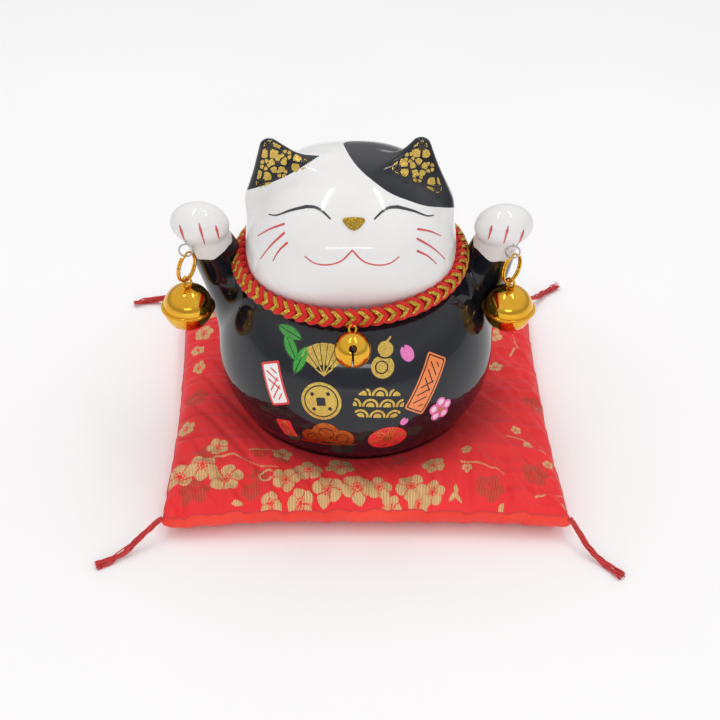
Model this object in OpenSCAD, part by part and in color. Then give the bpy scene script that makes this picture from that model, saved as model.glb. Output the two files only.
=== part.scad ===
// Ceramic beckoning cat coin bank with both paws raised, on a stuffed brocade cushion.
// Millimetres. Origin: centre of the cushion's footprint on the table. +Z up, the cat faces -Y.
// "left" and "right" are as seen from in front of the cat, so left is towards -X.

/* [Cushion] */
// Side of the square cushion
cushion_w = 150; // [140:1:160]
// Height of the seam between the brocade and the satin
seam_z = 9.5; // [8:0.5:11]
// Height of the stuffed crown above the table
crown_z = 21; // [18:0.5:22]
// How far the sides pull in between the corners, as a share of the half side
side_pull = 0.035; // [0:0.005:0.06]
// Thickness of the two cloth panels
cloth_t = 0.6; // [0.5:0.1:1]

/* [Torso] */
// Height of the foot ring's underside above the table
foot_z = 9; // [8.5:0.5:10]
// Radius of the belly at its widest
belly_r = 53.7; // [52:0.1:55]
// Height of the widest part of the belly
belly_z = 40.5; // [39:0.5:42]
// Wall of the slip-cast ceramic
wall = 3; // [2.5:0.1:3.5]
// Width of the coin slot in the back
slot_w = 30; // [28:1:34]
// Height of the coin slot
slot_h = 5; // [4.6:0.1:6]
// Radius of the hole in the base
stopper_r = 12; // [10:0.5:13]

/* [Head] */
// Radius of the head seen from above
head_r = 39.8; // [39:0.1:40.5]
// Half height of the head
head_half_h = 31.5; // [30:0.5:33]

/* [Collar] */
// Radius of the collar's centre line
collar_r = 41.4; // [41.2:0.1:42]
// Thickness of the braided cord
collar_d = 7.6; // [7:0.1:7.8]
// Outside diameter of the collar's bell
collar_bell_d = 13.4; // [12:0.2:13.6]

/* [Paw bells] */
// Outside diameter of a paw bell, without its flange
bell_d = 18.8; // [18:0.2:19]
// Diameter of the rolled flange that joins the two halves
flange_d = 20.8; // [20:0.2:21]
// Radius of the split ring's centre line
ring_r = 5.6; // [5.4:0.1:5.8]
// Wire of the split ring
ring_wire = 0.84; // [0.8:0.02:0.86]

/* [Tassels] */
// Thickness of a corner tassel's thread bundle
tassel_d = 2.4; // [2:0.2:2.6]

/* [Hidden] */
$fn = 48;
LEFT = -1;
RIGHT = 1;

// Where the castings stand
torso_at = [-3, -3.5, belly_z];
head_at = [-6, -5, 90.5];
collar_at = [-6, -5, 80.5];
collar_tilt = [2.5, -2.6, 0];

// Torso: two half ellipses that meet at the belly, cut flat at the foot and at the neck
belly_low = 41.8;
belly_high = 50;
neck_z = 74;
foot_ring_w = 4;
foot_recess = 1.8;
profile_steps = 12;
slot_at_z = 58;

// Cushion seat below the cat
seat_gap = 0.3;
seat_flat_r = 38;
seat_rise = 0.045;
panel_steps = 20;
rest_share = 1.35;

// Ears, from the middle of the base to the tip
left_ear = [[-27, -7, 111], [-35, -5, 131]];
right_ear = [[13, -7, 112.5], [18.8, -5, 132]];
ear_base_r = 12;
ear_tip_r = 1.2;

// Arms, from the shoulder to the paw
shoulder = [46, 7, 57];
paw = [56.8, -8.6, 95.9];
paw_mid_x = -5.6;
shoulder_r = 10.8;
shoulder_round = 0.8;
wrist_r = 7.4;
paw_half_w = 11.1;
paw_r = 8.2;
paw_steps = 10;

// Eyelets, split rings and paw bells. The rings hang turned by a different angle on each side.
left_eyelet_x = -67.4;
right_eyelet_x = 54.6;
eyelet_y = -14.9;
eyelet_z = 88;
eyelet_r = 2.6;
eyelet_wire = 0.64;
eyelet_stem = 6.5;
left_ring_turn = 60;
right_ring_turn = 50;
ring_play = 0.3;
ring_turns_gap = 0.82;
ring_z = eyelet_z - eyelet_r + eyelet_wire / 2 + ring_wire / 2 + ring_play - ring_r;
bell_loop_r = 1.9;
bell_loop_wire = 0.9;
bell_loop_drop = 0.85;
bell_loop_z = ring_z - ring_r - bell_loop_drop;
bell_sink = 0.25;
bell_z = bell_loop_z - bell_loop_r - bell_loop_wire / 2 - bell_d / 2 + bell_sink + bell_loop_wire / 2;
bell_sheet = 0.5;
flange_t = 1;
bell_slot_w = 1.6;
bell_slot_l = 12;
pellet_d = 4.4;
pellet_gap = 0.15;

// Collar bell: hangs from a thread at the front of the collar and leans on the chest
tie_at = [-6.2, -51.6, 79.4];
bell_lean = 37;
tie_r = 1.1;
tie_thread = 0.7;
tie_pocket_r = 1.8;
hook_drop = 0.33;
small_loop_r = 1.3;
small_loop_wire = 0.8;
small_bell_sheet = 0.4;
petal_slit = 0.9;
petal_hole_r = 1.5;
small_pellet_d = 3;
small_bell_drop = hook_drop + 2 * small_loop_r + collar_bell_d / 2 - 0.45;

// Tassel routes: out of each corner, down to the table
front_left_route = [
    [-75.4, -75.2, 9.2], [-78, -77, 8.2], [-81, -79.2, 6.4], [-84.2, -81.8, 4.4],
    [-87.6, -84.8, 2.6], [-91, -87.6, 1.7], [-94.6, -90.2, 1.4], [-98.6, -92.6, 1.4]
];
front_right_route = [
    [75.2, -75.4, 9.2], [77, -78, 8.2], [78.8, -81.2, 6.4], [81, -84.6, 4.4],
    [83.6, -88, 2.6], [86.4, -91.2, 1.7], [89.4, -94.6, 1.4], [92.6, -98.4, 1.4]
];
back_left_route = [
    [-75.2, 75.4, 9.2], [-76.8, 78.8, 8.2], [-79.2, 82.2, 6.4], [-82.6, 84.8, 4.4],
    [-86.6, 86.2, 2.6], [-90.6, 86.4, 1.7], [-94.6, 85.6, 1.4], [-98.6, 83.8, 1.4]
];
back_right_route = [
    [75.2, 75.4, 9.2], [76.8, 78.4, 8.2], [78.6, 82, 6.4], [80.6, 86, 4.4],
    [83, 90, 2.6], [85.8, 93.8, 1.7], [89, 97.4, 1.4], [92.6, 101, 1.4]
];

function on_side(p, side) = [torso_at.x + side * p.x, p.y, p.z];
function paw_on(side) = [paw_mid_x + side * paw.x, paw.y, paw.z];

// ---------------------------------------------------------------- cushion

// Share of the full loft at a place on the cushion, 0 at the seam and 1 in the middle
function loft(u, v) = sqrt((1 - pow(u, 4)) * (1 - pow(v, 4)));

// Plan position of a place on the cushion; the sides pull in between the corners
function plan(u, v, inset) = [
    (cushion_w / 2 - inset) * u * (1 - side_pull * (1 - v * v)),
    (cushion_w / 2 - inset) * v * (1 - side_pull * (1 - u * u))
];

// Height of the hollow that the cat presses into the cushion
function seat_height(p) =
    let (r = norm([p.x - torso_at.x, p.y - torso_at.y]))
    foot_z - seat_gap + seat_rise * pow(max(0, r - seat_flat_r), 2);

function upper_point(u, v, inset) =
    let (p = plan(u, v, inset), free = seam_z + (crown_z - seam_z) * loft(u, v))
    [p.x, p.y, min(free, seat_height(p)) - inset * ceil(loft(u, v))];

function lower_point(u, v, inset) =
    let (p = plan(u, v, inset))
    [p.x, p.y, seam_z * (1 - min(1, rest_share * loft(u, v))) + inset * ceil(loft(u, v))];

function at_step(i) = -1 + 2 * i / panel_steps;
function grid_points(upper, inset) = [
    for (j = [0:panel_steps], i = [0:panel_steps])
        upper ? upper_point(at_step(i), at_step(j), inset) : lower_point(at_step(i), at_step(j), inset)
];

row = panel_steps + 1;
sheet_size = row * row;
function cell(i, j) = j * row + i;

// Two triangles for each cell of a grid; a sheet that faces down is turned over. The list starts
// at one cell away from the edges and the lines of symmetry.
first_cell = [13, 8];
function sheet_faces(start, up) = [
    for (n = [0:panel_steps - 1], m = [0:panel_steps - 1])
        let (i = (m + first_cell.x) % panel_steps, j = (n + first_cell.y) % panel_steps)
        let (a = start + cell(i, j), b = a + 1, c = b + row, d = a + row)
        each (up ? [[a, d, c], [a, c, b]] : [[a, c, d], [a, b, c]])
];

// The rim's places in order round the cushion
rim = concat(
    [for (i = [0:panel_steps - 1]) cell(i, 0)],
    [for (j = [0:panel_steps - 1]) cell(panel_steps, j)],
    [for (i = [0:panel_steps - 1]) cell(panel_steps - i, panel_steps)],
    [for (j = [0:panel_steps - 1]) cell(0, panel_steps - j)]
);
function rim_faces(top, bottom) = [
    for (k = [0:len(rim) - 1])
        let (a = rim[k], b = rim[(k + 1) % len(rim)])
        each [[top + a, top + b, bottom + b], [top + a, bottom + b, bottom + a]]
];

// A closed solid between an upper and a lower sheet of grid points
module between_sheets(upper, lower) {
    polyhedron(
        points = concat(upper, lower),
        faces = concat(rim_faces(0, sheet_size), sheet_faces(sheet_size, false), sheet_faces(0, true))
    );
}

// Brocade upper half
module cushion_top_panel() {
    color("crimson")
        between_sheets(grid_points(true, 0), grid_points(true, cloth_t));
}

// Plain satin lower half, flat where it rests on the table
module cushion_bottom_panel() {
    color("tomato")
        between_sheets(grid_points(false, cloth_t), grid_points(false, 0));
}

// Fibre filling, a little clear of both panels
module cushion_filling() {
    inset = cloth_t + 0.5;
    rim_rise = [0, 0, 0.2];
    color("ivory")
        between_sheets(
            [for (p = grid_points(true, inset)) p + rim_rise],
            [for (p = grid_points(false, inset)) p - rim_rise]
        );
}

// ---------------------------------------------------------------- tassels

tube_sides = 8;

// Direction of a route at one of its points
function heading(route, i) =
    let (a = route[max(0, i - 1)], b = route[min(len(route) - 1, i + 1)])
    (b - a) / norm(b - a);

// Ring of points around one point of a route
function tube_ring(route, i, r) =
    let (t = heading(route, i), side = cross(t, [0, 0, 1]), s = side / norm(side), n = cross(s, t))
    [for (k = [0:tube_sides - 1]) let (a = 360 * k / tube_sides) route[i] + r * (cos(a) * s + sin(a) * n)];

// Bundle of red threads sewn to a corner
module tassel(route) {
    last = len(route) - 1;
    color("firebrick")
        polyhedron(
            points = [for (i = [0:last]) each tube_ring(route, i, tassel_d / 2)],
            faces = concat(
                [[for (k = [0:tube_sides - 1]) tube_sides - 1 - k]],
                [[for (k = [0:tube_sides - 1]) last * tube_sides + k]],
                [
                    for (i = [0:last - 1], k = [0:tube_sides - 1])
                        let (a = i * tube_sides + k, b = i * tube_sides + (k + 1) % tube_sides)
                        each [[a, b, b + tube_sides], [a, b + tube_sides, a + tube_sides]]
                ]
            )
        );
}

// ---------------------------------------------------------------- ceramic castings

// Radius of the torso's outside at a height
function torso_radius(z) =
    let (half = z < belly_z ? belly_low : belly_high)
    belly_r * sqrt(1 - pow((z - belly_z) / half, 2));

// Outline of the torso between two heights, moved inwards by the given amount
function torso_outline(low, high, inset) = [
    for (i = [0:profile_steps])
        let (z = low + (high - low) * i / profile_steps)
        [torso_radius(z) - inset, z]
];

module torso_solid() {
    translate([torso_at.x, torso_at.y, 0])
        rotate_extrude()
            polygon(concat([[0, foot_z]], torso_outline(foot_z, neck_z, 0), [[0, neck_z]]));
}

module torso_shell() {
    floor_z = foot_z + foot_recess + wall;
    recess_r = torso_radius(foot_z) - foot_ring_w;
    color("#23262d")
        difference() {
            torso_solid();
            translate([torso_at.x, torso_at.y, 0]) {
                rotate_extrude()
                    polygon(concat(
                        [[0, floor_z]],
                        torso_outline(floor_z, neck_z - wall, wall),
                        [[0, neck_z - wall]]
                    ));
                translate([0, 0, foot_z - 1])
                    cylinder(r = recess_r, h = foot_recess + 1);
                translate([0, 0, foot_z])
                    cylinder(r = stopper_r, h = foot_recess + wall + 1);
                translate([-slot_w / 2, 0, slot_at_z - slot_h / 2])
                    cube([slot_w, belly_r + 1, slot_h]);
            }
        }
}

// Rubber plug with a flange below the base
module coin_stopper() {
    flange_w = 2.2;
    flange_h = 1.2;
    fit_gap = 0.05;
    top_rise = 1.2;
    base_z = foot_z + foot_recess;
    color("dimgray")
        translate([torso_at.x, torso_at.y, 0]) {
            translate([0, 0, base_z])
                cylinder(r = stopper_r - fit_gap, h = wall + top_rise);
            difference() {
                translate([0, 0, base_z - flange_h])
                    cylinder(r = stopper_r + flange_w, h = flange_h);
                translate([-stopper_r / 2, -1, base_z - flange_h - 1])
                    cube([stopper_r, 2, 1.7]);
            }
        }
}

// Outline of the head as a flattened ball, cut flat at the neck
function head_outline(inset) =
    let (low = neck_z - head_at.z, high = head_half_h - inset)
    [
        for (i = [0:profile_steps])
            let (z = low + (high - low) * (1 - pow(1 - i / profile_steps, 2)))
            [(head_r - inset) * sqrt(max(0, 1 - pow(z / high, 2))), z]
    ];

module ear(ends) {
    along = ends[1] - ends[0];
    translate(ends[0])
        rotate([0, acos(along.z / norm(along)), atan2(along.y, along.x)])
            cylinder(r1 = ear_base_r, r2 = ear_tip_r, h = norm(along));
}

module head_shell() {
    mouth_z = neck_z - head_at.z - 1;
    color("whitesmoke")
        difference() {
            union() {
                translate(head_at)
                    rotate_extrude()
                        polygon(concat([[0, neck_z - head_at.z]], head_outline(0)));
                ear(left_ear);
                ear(right_ear);
            }
            translate(head_at)
                rotate_extrude()
                    polygon(concat([[0, mouth_z], [head_outline(wall)[0].x, mouth_z]], head_outline(wall)));
        }
}

// A round limb between two points
module limb(from, to, r_from, r_to) {
    along = to - from;
    translate(from)
        rotate([0, acos(along.z / norm(along)), atan2(along.y, along.x)])
            cylinder(r1 = r_from, r2 = r_to, h = norm(along));
}

// Egg-shaped paw, lying along X
module paw_ball() {
    rotate([0, 90, 0])
        rotate_extrude()
            polygon([
                for (i = [0:paw_steps])
                    let (a = 180 * i / paw_steps)
                    [paw_r * sin(a), -paw_half_w * cos(a)]
            ]);
}

// One raised arm with its paw, drilled for the eyelet's stem
module arm(side, eyelet_x) {
    color("#23262d")
        difference() {
            union() {
                translate(on_side(shoulder, side))
                    sphere(r = shoulder_r + shoulder_round);
                limb(on_side(shoulder, side), paw_on(side), shoulder_r, wrist_r);
                translate(paw_on(side))
                    paw_ball();
            }
            torso_solid();
            eyelet_stem_at(eyelet_x);
        }
}
module left_arm() {
    arm(LEFT, left_eyelet_x);
}
module right_arm() {
    arm(RIGHT, right_eyelet_x);
}

// ---------------------------------------------------------------- paw bells

// A wire ring standing on edge, its axis along Y
module wire_ring(r, wire) {
    rotate([90, 0, 0])
        rotate_extrude()
            translate([r, 0])
                circle(d = wire, $fn = 16);
}

module eyelet_stem_at(x) {
    translate([x, eyelet_y, eyelet_z + eyelet_r])
        cylinder(d = eyelet_wire, h = eyelet_stem, $fn = 16);
}

// Steel wire loop whose stem is set in the paw
module eyelet(x) {
    color("silver") {
        eyelet_stem_at(x);
        translate([x, eyelet_y, eyelet_z])
            wire_ring(eyelet_r, eyelet_wire);
    }
}
module left_eyelet() {
    eyelet(left_eyelet_x);
}
module right_eyelet() {
    eyelet(right_eyelet_x);
}

// Split ring: two turns of wire side by side
module split_ring(x, turn) {
    color("gold")
        translate([x, eyelet_y, ring_z])
            rotate([0, 0, turn])
                for (side = [-0.5, 0.5])
                    translate([0, side * ring_turns_gap, 0])
                        wire_ring(ring_r, ring_wire);
}
module left_split_ring() {
    split_ring(left_eyelet_x, left_ring_turn);
}
module right_split_ring() {
    split_ring(right_eyelet_x, right_ring_turn);
}

// Puts a bell's piece below its split ring; the ring lies in the piece's own XZ plane
module at_bell(x, turn, z) {
    translate([x, eyelet_y, z])
        rotate([0, 0, turn])
            children();
}

// Half of a pressed bell, opening downwards, with half of the rolled flange above z = 0
module bell_half() {
    difference() {
        union() {
            sphere(d = bell_d);
            cylinder(d = flange_d, h = flange_t / 2);
        }
        sphere(d = bell_d - 2 * bell_sheet);
        translate([-bell_d, -bell_d, -2 * bell_d])
            cube([2 * bell_d, 2 * bell_d, 2 * bell_d]);
    }
}

module bell_upper(x, turn) {
    foot_of_loop = bell_loop_z - bell_z;
    color("goldenrod")
        at_bell(x, turn, bell_z)
            difference() {
                bell_half();
                translate([0, 0, foot_of_loop])
                    rotate([0, 0, 90])
                        wire_ring(bell_loop_r, bell_loop_wire);
            }
}

// The lower half has a long slot across its bottom, with a round hole at each end
module bell_lower(x, turn) {
    color("goldenrod")
        at_bell(x, turn, bell_z)
            difference() {
                rotate([180, 0, 0])
                    bell_half();
                translate([-bell_slot_l / 2, -bell_slot_w / 2, -bell_d])
                    cube([bell_slot_l, bell_slot_w, bell_d]);
                for (end = [-0.5, 0.5])
                    translate([end * bell_slot_l, 0, -bell_d])
                        cylinder(r = bell_slot_w, h = bell_d);
            }
}

module bell_loop(x, turn) {
    color("gold")
        at_bell(x, turn, bell_loop_z)
            rotate([0, 0, 90])
                difference() {
                    wire_ring(bell_loop_r, bell_loop_wire);
                    translate([0, 0, bell_z - bell_loop_z])
                        sphere(d = bell_d - 2 * bell_sheet);
                }
}

module bell_pellet(x) {
    color("gray")
        translate([x, eyelet_y, bell_z - bell_d / 2 + bell_sheet + pellet_gap + pellet_d / 2])
            sphere(d = pellet_d);
}

module left_bell_upper() {
    bell_upper(left_eyelet_x, left_ring_turn);
}
module left_bell_lower() {
    bell_lower(left_eyelet_x, left_ring_turn);
}
module left_bell_loop() {
    bell_loop(left_eyelet_x, left_ring_turn);
}
module left_bell_pellet() {
    bell_pellet(left_eyelet_x);
}
module right_bell_upper() {
    bell_upper(right_eyelet_x, right_ring_turn);
}
module right_bell_lower() {
    bell_lower(right_eyelet_x, right_ring_turn);
}
module right_bell_loop() {
    bell_loop(right_eyelet_x, right_ring_turn);
}
module right_bell_pellet() {
    bell_pellet(right_eyelet_x);
}

// ---------------------------------------------------------------- collar

module collar_ring() {
    translate(collar_at)
        rotate(collar_tilt)
            rotate_extrude($fn = 96)
                translate([collar_r, 0])
                    circle(d = collar_d, $fn = 24);
}

// Braided cord with a small pocket between its strands for the bell's thread
module collar_braid() {
    color("red")
        difference() {
            collar_ring();
            translate(tie_at)
                sphere(r = tie_pocket_r);
            collar_knot_solid();
        }
}

// Knot at the back where the cord's ends are tied
module collar_knot_solid() {
    translate(collar_at)
        rotate(collar_tilt)
            translate([0, collar_r + 1.5, 0])
                scale([1.25, 1, 1.1])
                    sphere(d = 10);
}
module collar_knot() {
    color("firebrick")
        collar_knot_solid();
}

// Places a piece in the collar bell's own frame: Z runs up the bell, Y away from the chest
module at_tie() {
    translate(tie_at)
        rotate([-bell_lean, 0, 0])
            children();
}

// Loop of red thread sewn through the braid
module collar_bell_tie() {
    color("red")
        at_tie()
            rotate([0, 0, 90])
                wire_ring(tie_r, tie_thread);
}

// One-piece ball bell with four petals: slits from the pole to round holes at the equator
module collar_bell_shell() {
    color("goldenrod")
        at_tie()
            translate([0, 0, -small_bell_drop])
                difference() {
                    sphere(d = collar_bell_d);
                    sphere(d = collar_bell_d - 2 * small_bell_sheet);
                    for (turn = [0, 90])
                        rotate([0, 0, turn]) {
                            translate([-petal_slit / 2, -collar_bell_d, -collar_bell_d])
                                cube([petal_slit, 2 * collar_bell_d, collar_bell_d - petal_hole_r]);
                            translate([0, collar_bell_d, -petal_hole_r])
                                rotate([90, 0, 0])
                                    cylinder(r = petal_hole_r, h = 2 * collar_bell_d, $fn = 24);
                        }
                    translate([0, 0, small_bell_drop - hook_drop - small_loop_r])
                        wire_ring(small_loop_r, small_loop_wire);
                }
}

module collar_bell_loop() {
    color("gold")
        at_tie()
            difference() {
                translate([0, 0, -hook_drop - small_loop_r])
                    wire_ring(small_loop_r, small_loop_wire);
                translate([0, 0, -small_bell_drop])
                    sphere(d = collar_bell_d - 2 * small_bell_sheet);
            }
}

module collar_bell_pellet() {
    color("gray")
        at_tie()
            translate([0, 0, -small_bell_drop - collar_bell_d / 2 + small_bell_sheet + pellet_gap
                + small_pellet_d / 2])
                sphere(d = small_pellet_d);
}

// ---------------------------------------------------------------- nodes

cushion_bottom_panel();
cushion_filling();
cushion_top_panel();
tassel(front_left_route);  // tassel_front_left
tassel(front_right_route);  // tassel_front_right
tassel(back_left_route);  // tassel_back_left
tassel(back_right_route);  // tassel_back_right
torso_shell();
coin_stopper();
head_shell();
left_arm();
right_arm();
left_eyelet();
right_eyelet();
left_split_ring();
right_split_ring();
left_bell_upper();
left_bell_lower();
left_bell_loop();
left_bell_pellet();
right_bell_upper();
right_bell_lower();
right_bell_loop();
right_bell_pellet();
collar_braid();
collar_knot();
collar_bell_tie();
collar_bell_shell();
collar_bell_loop();
collar_bell_pellet();
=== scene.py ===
"""Ceramic beckoning cat coin bank on a brocade cushion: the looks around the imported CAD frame.

Lengths below are in millimetres and are scaled to metres when a mesh is made.
+X is to the viewer's right, the cat faces -Y, +Z is up.
"""
import math

import bmesh
import bpy
import numpy as np
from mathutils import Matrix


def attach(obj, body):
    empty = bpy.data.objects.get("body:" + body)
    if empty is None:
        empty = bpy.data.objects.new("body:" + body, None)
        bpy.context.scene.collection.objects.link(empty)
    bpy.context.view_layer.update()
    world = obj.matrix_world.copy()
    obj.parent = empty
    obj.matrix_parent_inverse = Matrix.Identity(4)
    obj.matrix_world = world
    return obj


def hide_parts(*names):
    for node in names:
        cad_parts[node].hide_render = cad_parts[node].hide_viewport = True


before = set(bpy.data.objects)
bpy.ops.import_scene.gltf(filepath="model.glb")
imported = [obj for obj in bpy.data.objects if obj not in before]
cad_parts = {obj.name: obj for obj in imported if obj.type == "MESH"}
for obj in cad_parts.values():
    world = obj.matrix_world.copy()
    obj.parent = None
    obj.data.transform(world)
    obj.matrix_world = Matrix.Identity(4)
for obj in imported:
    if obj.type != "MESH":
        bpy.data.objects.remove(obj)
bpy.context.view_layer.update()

import openvdb
from mathutils import Matrix, Vector
from mathutils.bvhtree import BVHTree

MM = 0.001
rng = np.random.default_rng(20)

# ---------------------------------------------------------------- places, as in the CAD model

TORSO_AT = np.array([-3.0, -3.5, 40.5])
BELLY_R, BELLY_LOW, BELLY_HIGH = 53.6, 41.8, 50.0
FOOT_Z, NECK_Z, WALL = 9.0, 74.0, 3.0
HEAD_AT = np.array([-6.0, -5.0, 90.5])
SHOULDER = np.array([46.0, 7.0, 57.0])
PAW = np.array([56.8, -8.6, 95.9])
PAW_MID_X = -5.6
COLLAR_AT = np.array([-6.0, -5.0, 80.5])
COLLAR_TILT = (2.5, -2.6)
COLLAR_R, CORD_R = 41.4, 3.8
EYELET_Y, EYELET_Z, EYELET_R, EYELET_WIRE = -14.9, 88.0, 2.6, 0.64
RING_Z, RING_R, RING_WIRE = 80.84, 5.6, 0.84
BELL_LOOP_Z, BELL_Z, BELL_D, FLANGE_D = 74.39, 63.34, 18.8, 20.8
# The paw bells' x, the turn of their rings about Z, and their side
SIDES = {"left": {"x": -67.4, "turn": 60.0, "sign": -1}, "right": {"x": 54.6, "turn": 50.0, "sign": 1}}
TIE_AT = np.array([-6.2, -51.6, 79.4])
BELL_LEAN = 37.0
SMALL_BELL_DROP = 9.18
CUSHION_W, SEAM_Z, CROWN_Z, SIDE_PULL = 150.0, 9.5, 21.0, 0.035
TASSEL_ROUTES = {
    "front_left": [
        (-75.4, -75.2, 9.2), (-78, -77, 8.2), (-81, -79.2, 6.4), (-84.2, -81.8, 4.4),
        (-87.6, -84.8, 2.6), (-91, -87.6, 1.7), (-94.6, -90.2, 1.4), (-98.6, -92.6, 1.4),
    ],
    "front_right": [
        (75.2, -75.4, 9.2), (77, -78, 8.2), (78.8, -81.2, 6.4), (81, -84.6, 4.4),
        (83.6, -88, 2.6), (86.4, -91.2, 1.7), (89.4, -94.6, 1.4), (92.6, -98.4, 1.4),
    ],
    "back_left": [
        (-75.2, 75.4, 9.2), (-76.8, 78.8, 8.2), (-79.2, 82.2, 6.4), (-82.6, 84.8, 4.4),
        (-86.6, 86.2, 2.6), (-90.6, 86.4, 1.7), (-94.6, 85.6, 1.4), (-98.6, 83.8, 1.4),
    ],
    "back_right": [
        (75.2, 75.4, 9.2), (76.8, 78.4, 8.2), (78.6, 82, 6.4), (80.6, 86, 4.4),
        (83, 90, 2.6), (85.8, 93.8, 1.7), (89, 97.4, 1.4), (92.6, 101, 1.4),
    ],
}

# ---------------------------------------------------------------- camera

LENS, SENSOR = 86.7, 36.0
VIEW_UP, VIEW_SIDE, VIEW_ROLL = math.radians(34.4), math.radians(-2.5), math.radians(1.6)
VIEW_TARGET, VIEW_DISTANCE = Vector((-1, -2, 30)), 690


def make_camera():
    back = Vector((
        math.sin(VIEW_SIDE) * math.cos(VIEW_UP),
        -math.cos(VIEW_SIDE) * math.cos(VIEW_UP),
        math.sin(VIEW_UP),
    ))
    level = Vector((math.cos(VIEW_SIDE), math.sin(VIEW_SIDE), 0))
    over = back.cross(level)
    right = level * math.cos(VIEW_ROLL) + over * math.sin(VIEW_ROLL)
    up = back.cross(right)
    camera = bpy.data.objects.new("camera", bpy.data.cameras.new("camera"))
    camera.data.lens = LENS
    camera.data.sensor_width = SENSOR
    camera.data.clip_end = 20
    turn = Matrix((right, up, back)).transposed().to_4x4()
    camera.matrix_world = Matrix.Translation((VIEW_TARGET + back * VIEW_DISTANCE) * MM) @ turn
    bpy.context.scene.collection.objects.link(camera)
    bpy.context.scene.camera = camera


make_camera()

# ---------------------------------------------------------------- small helpers


def unit(v):
    v = np.asarray(v, float)
    return v / np.linalg.norm(v)


def smooth_min(a, b, k):
    h = np.clip(0.5 + 0.5 * (b - a) / k, 0, 1)
    return b + (a - b) * h - k * h * (1 - h)


def smooth_max(a, b, k):
    return -smooth_min(-a, -b, k)


def smooth_step(low, high, x):
    t = np.clip((x - low) / (high - low), 0, 1)
    return t * t * (3 - 2 * t)


def to_segment(s, t, a, b):
    """Distance from places in a plane to the line between two points, and how far along it they lie."""
    e = (b[0] - a[0], b[1] - a[1])
    share = np.clip(((s - a[0]) * e[0] + (t - a[1]) * e[1]) / (e[0] ** 2 + e[1] ** 2), 0, 1)
    return np.hypot(s - a[0] - share * e[0], t - a[1] - share * e[1]), share


def add_mesh(name, points, faces, material=None, smooth=True):
    """A new mesh object from points in millimetres."""
    mesh = bpy.data.meshes.new(name)
    mesh.from_pydata((np.asarray(points, float) * MM).tolist(), [], [list(map(int, f)) for f in faces])
    mesh.validate()
    mesh.update()
    if smooth:
        mesh.polygons.foreach_set("use_smooth", [True] * len(mesh.polygons))
    obj = bpy.data.objects.new(name, mesh)
    bpy.context.scene.collection.objects.link(obj)
    if material:
        mesh.materials.append(material)
    return obj


def add_number(obj, name, values):
    """Stores one number for each point of a mesh, for its material to read."""
    store = obj.data.attributes.new(name, "FLOAT", "POINT")
    store.data.foreach_set("value", np.asarray(values, np.float32))


def sharpen(obj, degrees=35):
    """Marks the edges that turn more than an angle as sharp."""
    limit = math.radians(degrees)
    bm = bmesh.new()
    bm.from_mesh(obj.data)
    for e in bm.edges:
        e.smooth = len(e.link_faces) != 2 or e.calc_face_angle(0) < limit
    bm.to_mesh(obj.data)
    bm.free()


def cut_away(obj, cutters):
    """Takes closed meshes away from a mesh and removes them."""
    for cutter in cutters:
        step = obj.modifiers.new("cut", "BOOLEAN")
        step.operation = "DIFFERENCE"
        step.solver = "EXACT"
        step.object = cutter
    bpy.context.view_layer.update()
    graph = bpy.context.evaluated_depsgraph_get()
    mesh = bpy.data.meshes.new_from_object(obj.evaluated_get(graph))
    obj.modifiers.clear()
    obj.data = mesh
    for cutter in cutters:
        bpy.data.objects.remove(cutter)


def merge_parts(parts):
    """Joins lists of (points, faces) into one."""
    points, faces, start = [], [], 0
    for p, f in parts:
        points.append(np.asarray(p, float))
        faces += [[i + start for i in face] for face in f]
        start += len(p)
    return np.concatenate(points), faces


def tube(path, radius, sides=10, closed=False, up=(0, 0, 1)):
    """Points and faces of a round tube along a path; radius is one number or one for each point."""
    path = np.asarray(path, float)
    n = len(path)
    radius = np.broadcast_to(np.asarray(radius, float), (n,))
    if closed:
        ahead = np.roll(path, -1, 0) - np.roll(path, 1, 0)
    else:
        ahead = np.gradient(path, axis=0)
    ahead /= np.maximum(np.linalg.norm(ahead, axis=1)[:, None], 1e-9)
    side = np.cross(ahead, np.asarray(up, float))
    weak = np.linalg.norm(side, axis=1) < 1e-3
    side[weak] = np.cross(ahead[weak], (0.3, 1, 0.2))
    side /= np.linalg.norm(side, axis=1)[:, None]
    over = np.cross(side, ahead)
    angles = (2 * np.pi * np.arange(sides) / sides)[None, :, None]
    ring = np.cos(angles) * side[:, None, :] + np.sin(angles) * over[:, None, :]
    points = (path[:, None, :] + radius[:, None, None] * ring).reshape(-1, 3)
    faces = []
    for i in range(n if closed else n - 1):
        a, b = i * sides, ((i + 1) % n) * sides
        faces += [[a + k, a + (k + 1) % sides, b + (k + 1) % sides, b + k] for k in range(sides)]
    if not closed:
        faces += [list(range(sides))[::-1], [(n - 1) * sides + k for k in range(sides)]]
    return points, faces


def revolve(profile, steps=96):
    """Points and faces of a closed outline of (r, z) turned about Z; points with r = 0 are shared."""
    points, rows = [], []
    angles = 2 * np.pi * np.arange(steps) / steps
    for r, z in profile:
        if r < 1e-6:
            rows.append([len(points)] * steps)
            points.append((0, 0, z))
        else:
            rows.append(list(range(len(points), len(points) + steps)))
            points += [(r * math.cos(a), r * math.sin(a), z) for a in angles]
    faces = []
    for i, low in enumerate(rows):
        high = rows[(i + 1) % len(rows)]
        for k in range(steps):
            face = [low[k], low[(k + 1) % steps], high[(k + 1) % steps], high[k]]
            face = list(dict.fromkeys(face))
            if len(face) > 2:
                faces.append(face)
    return np.array(points, float), faces


def arc(centre, r, start, end, steps):
    """Points of an arc in the (r, z) plane, angles in degrees."""
    turn = np.radians(np.linspace(start, end, steps + 1))
    return [(centre[0] + r * math.cos(t), centre[1] + r * math.sin(t)) for t in turn]


def turn_about(axis, degrees):
    return np.array(Matrix.Rotation(math.radians(degrees), 3, axis))


# ---------------------------------------------------------------- materials


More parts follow.
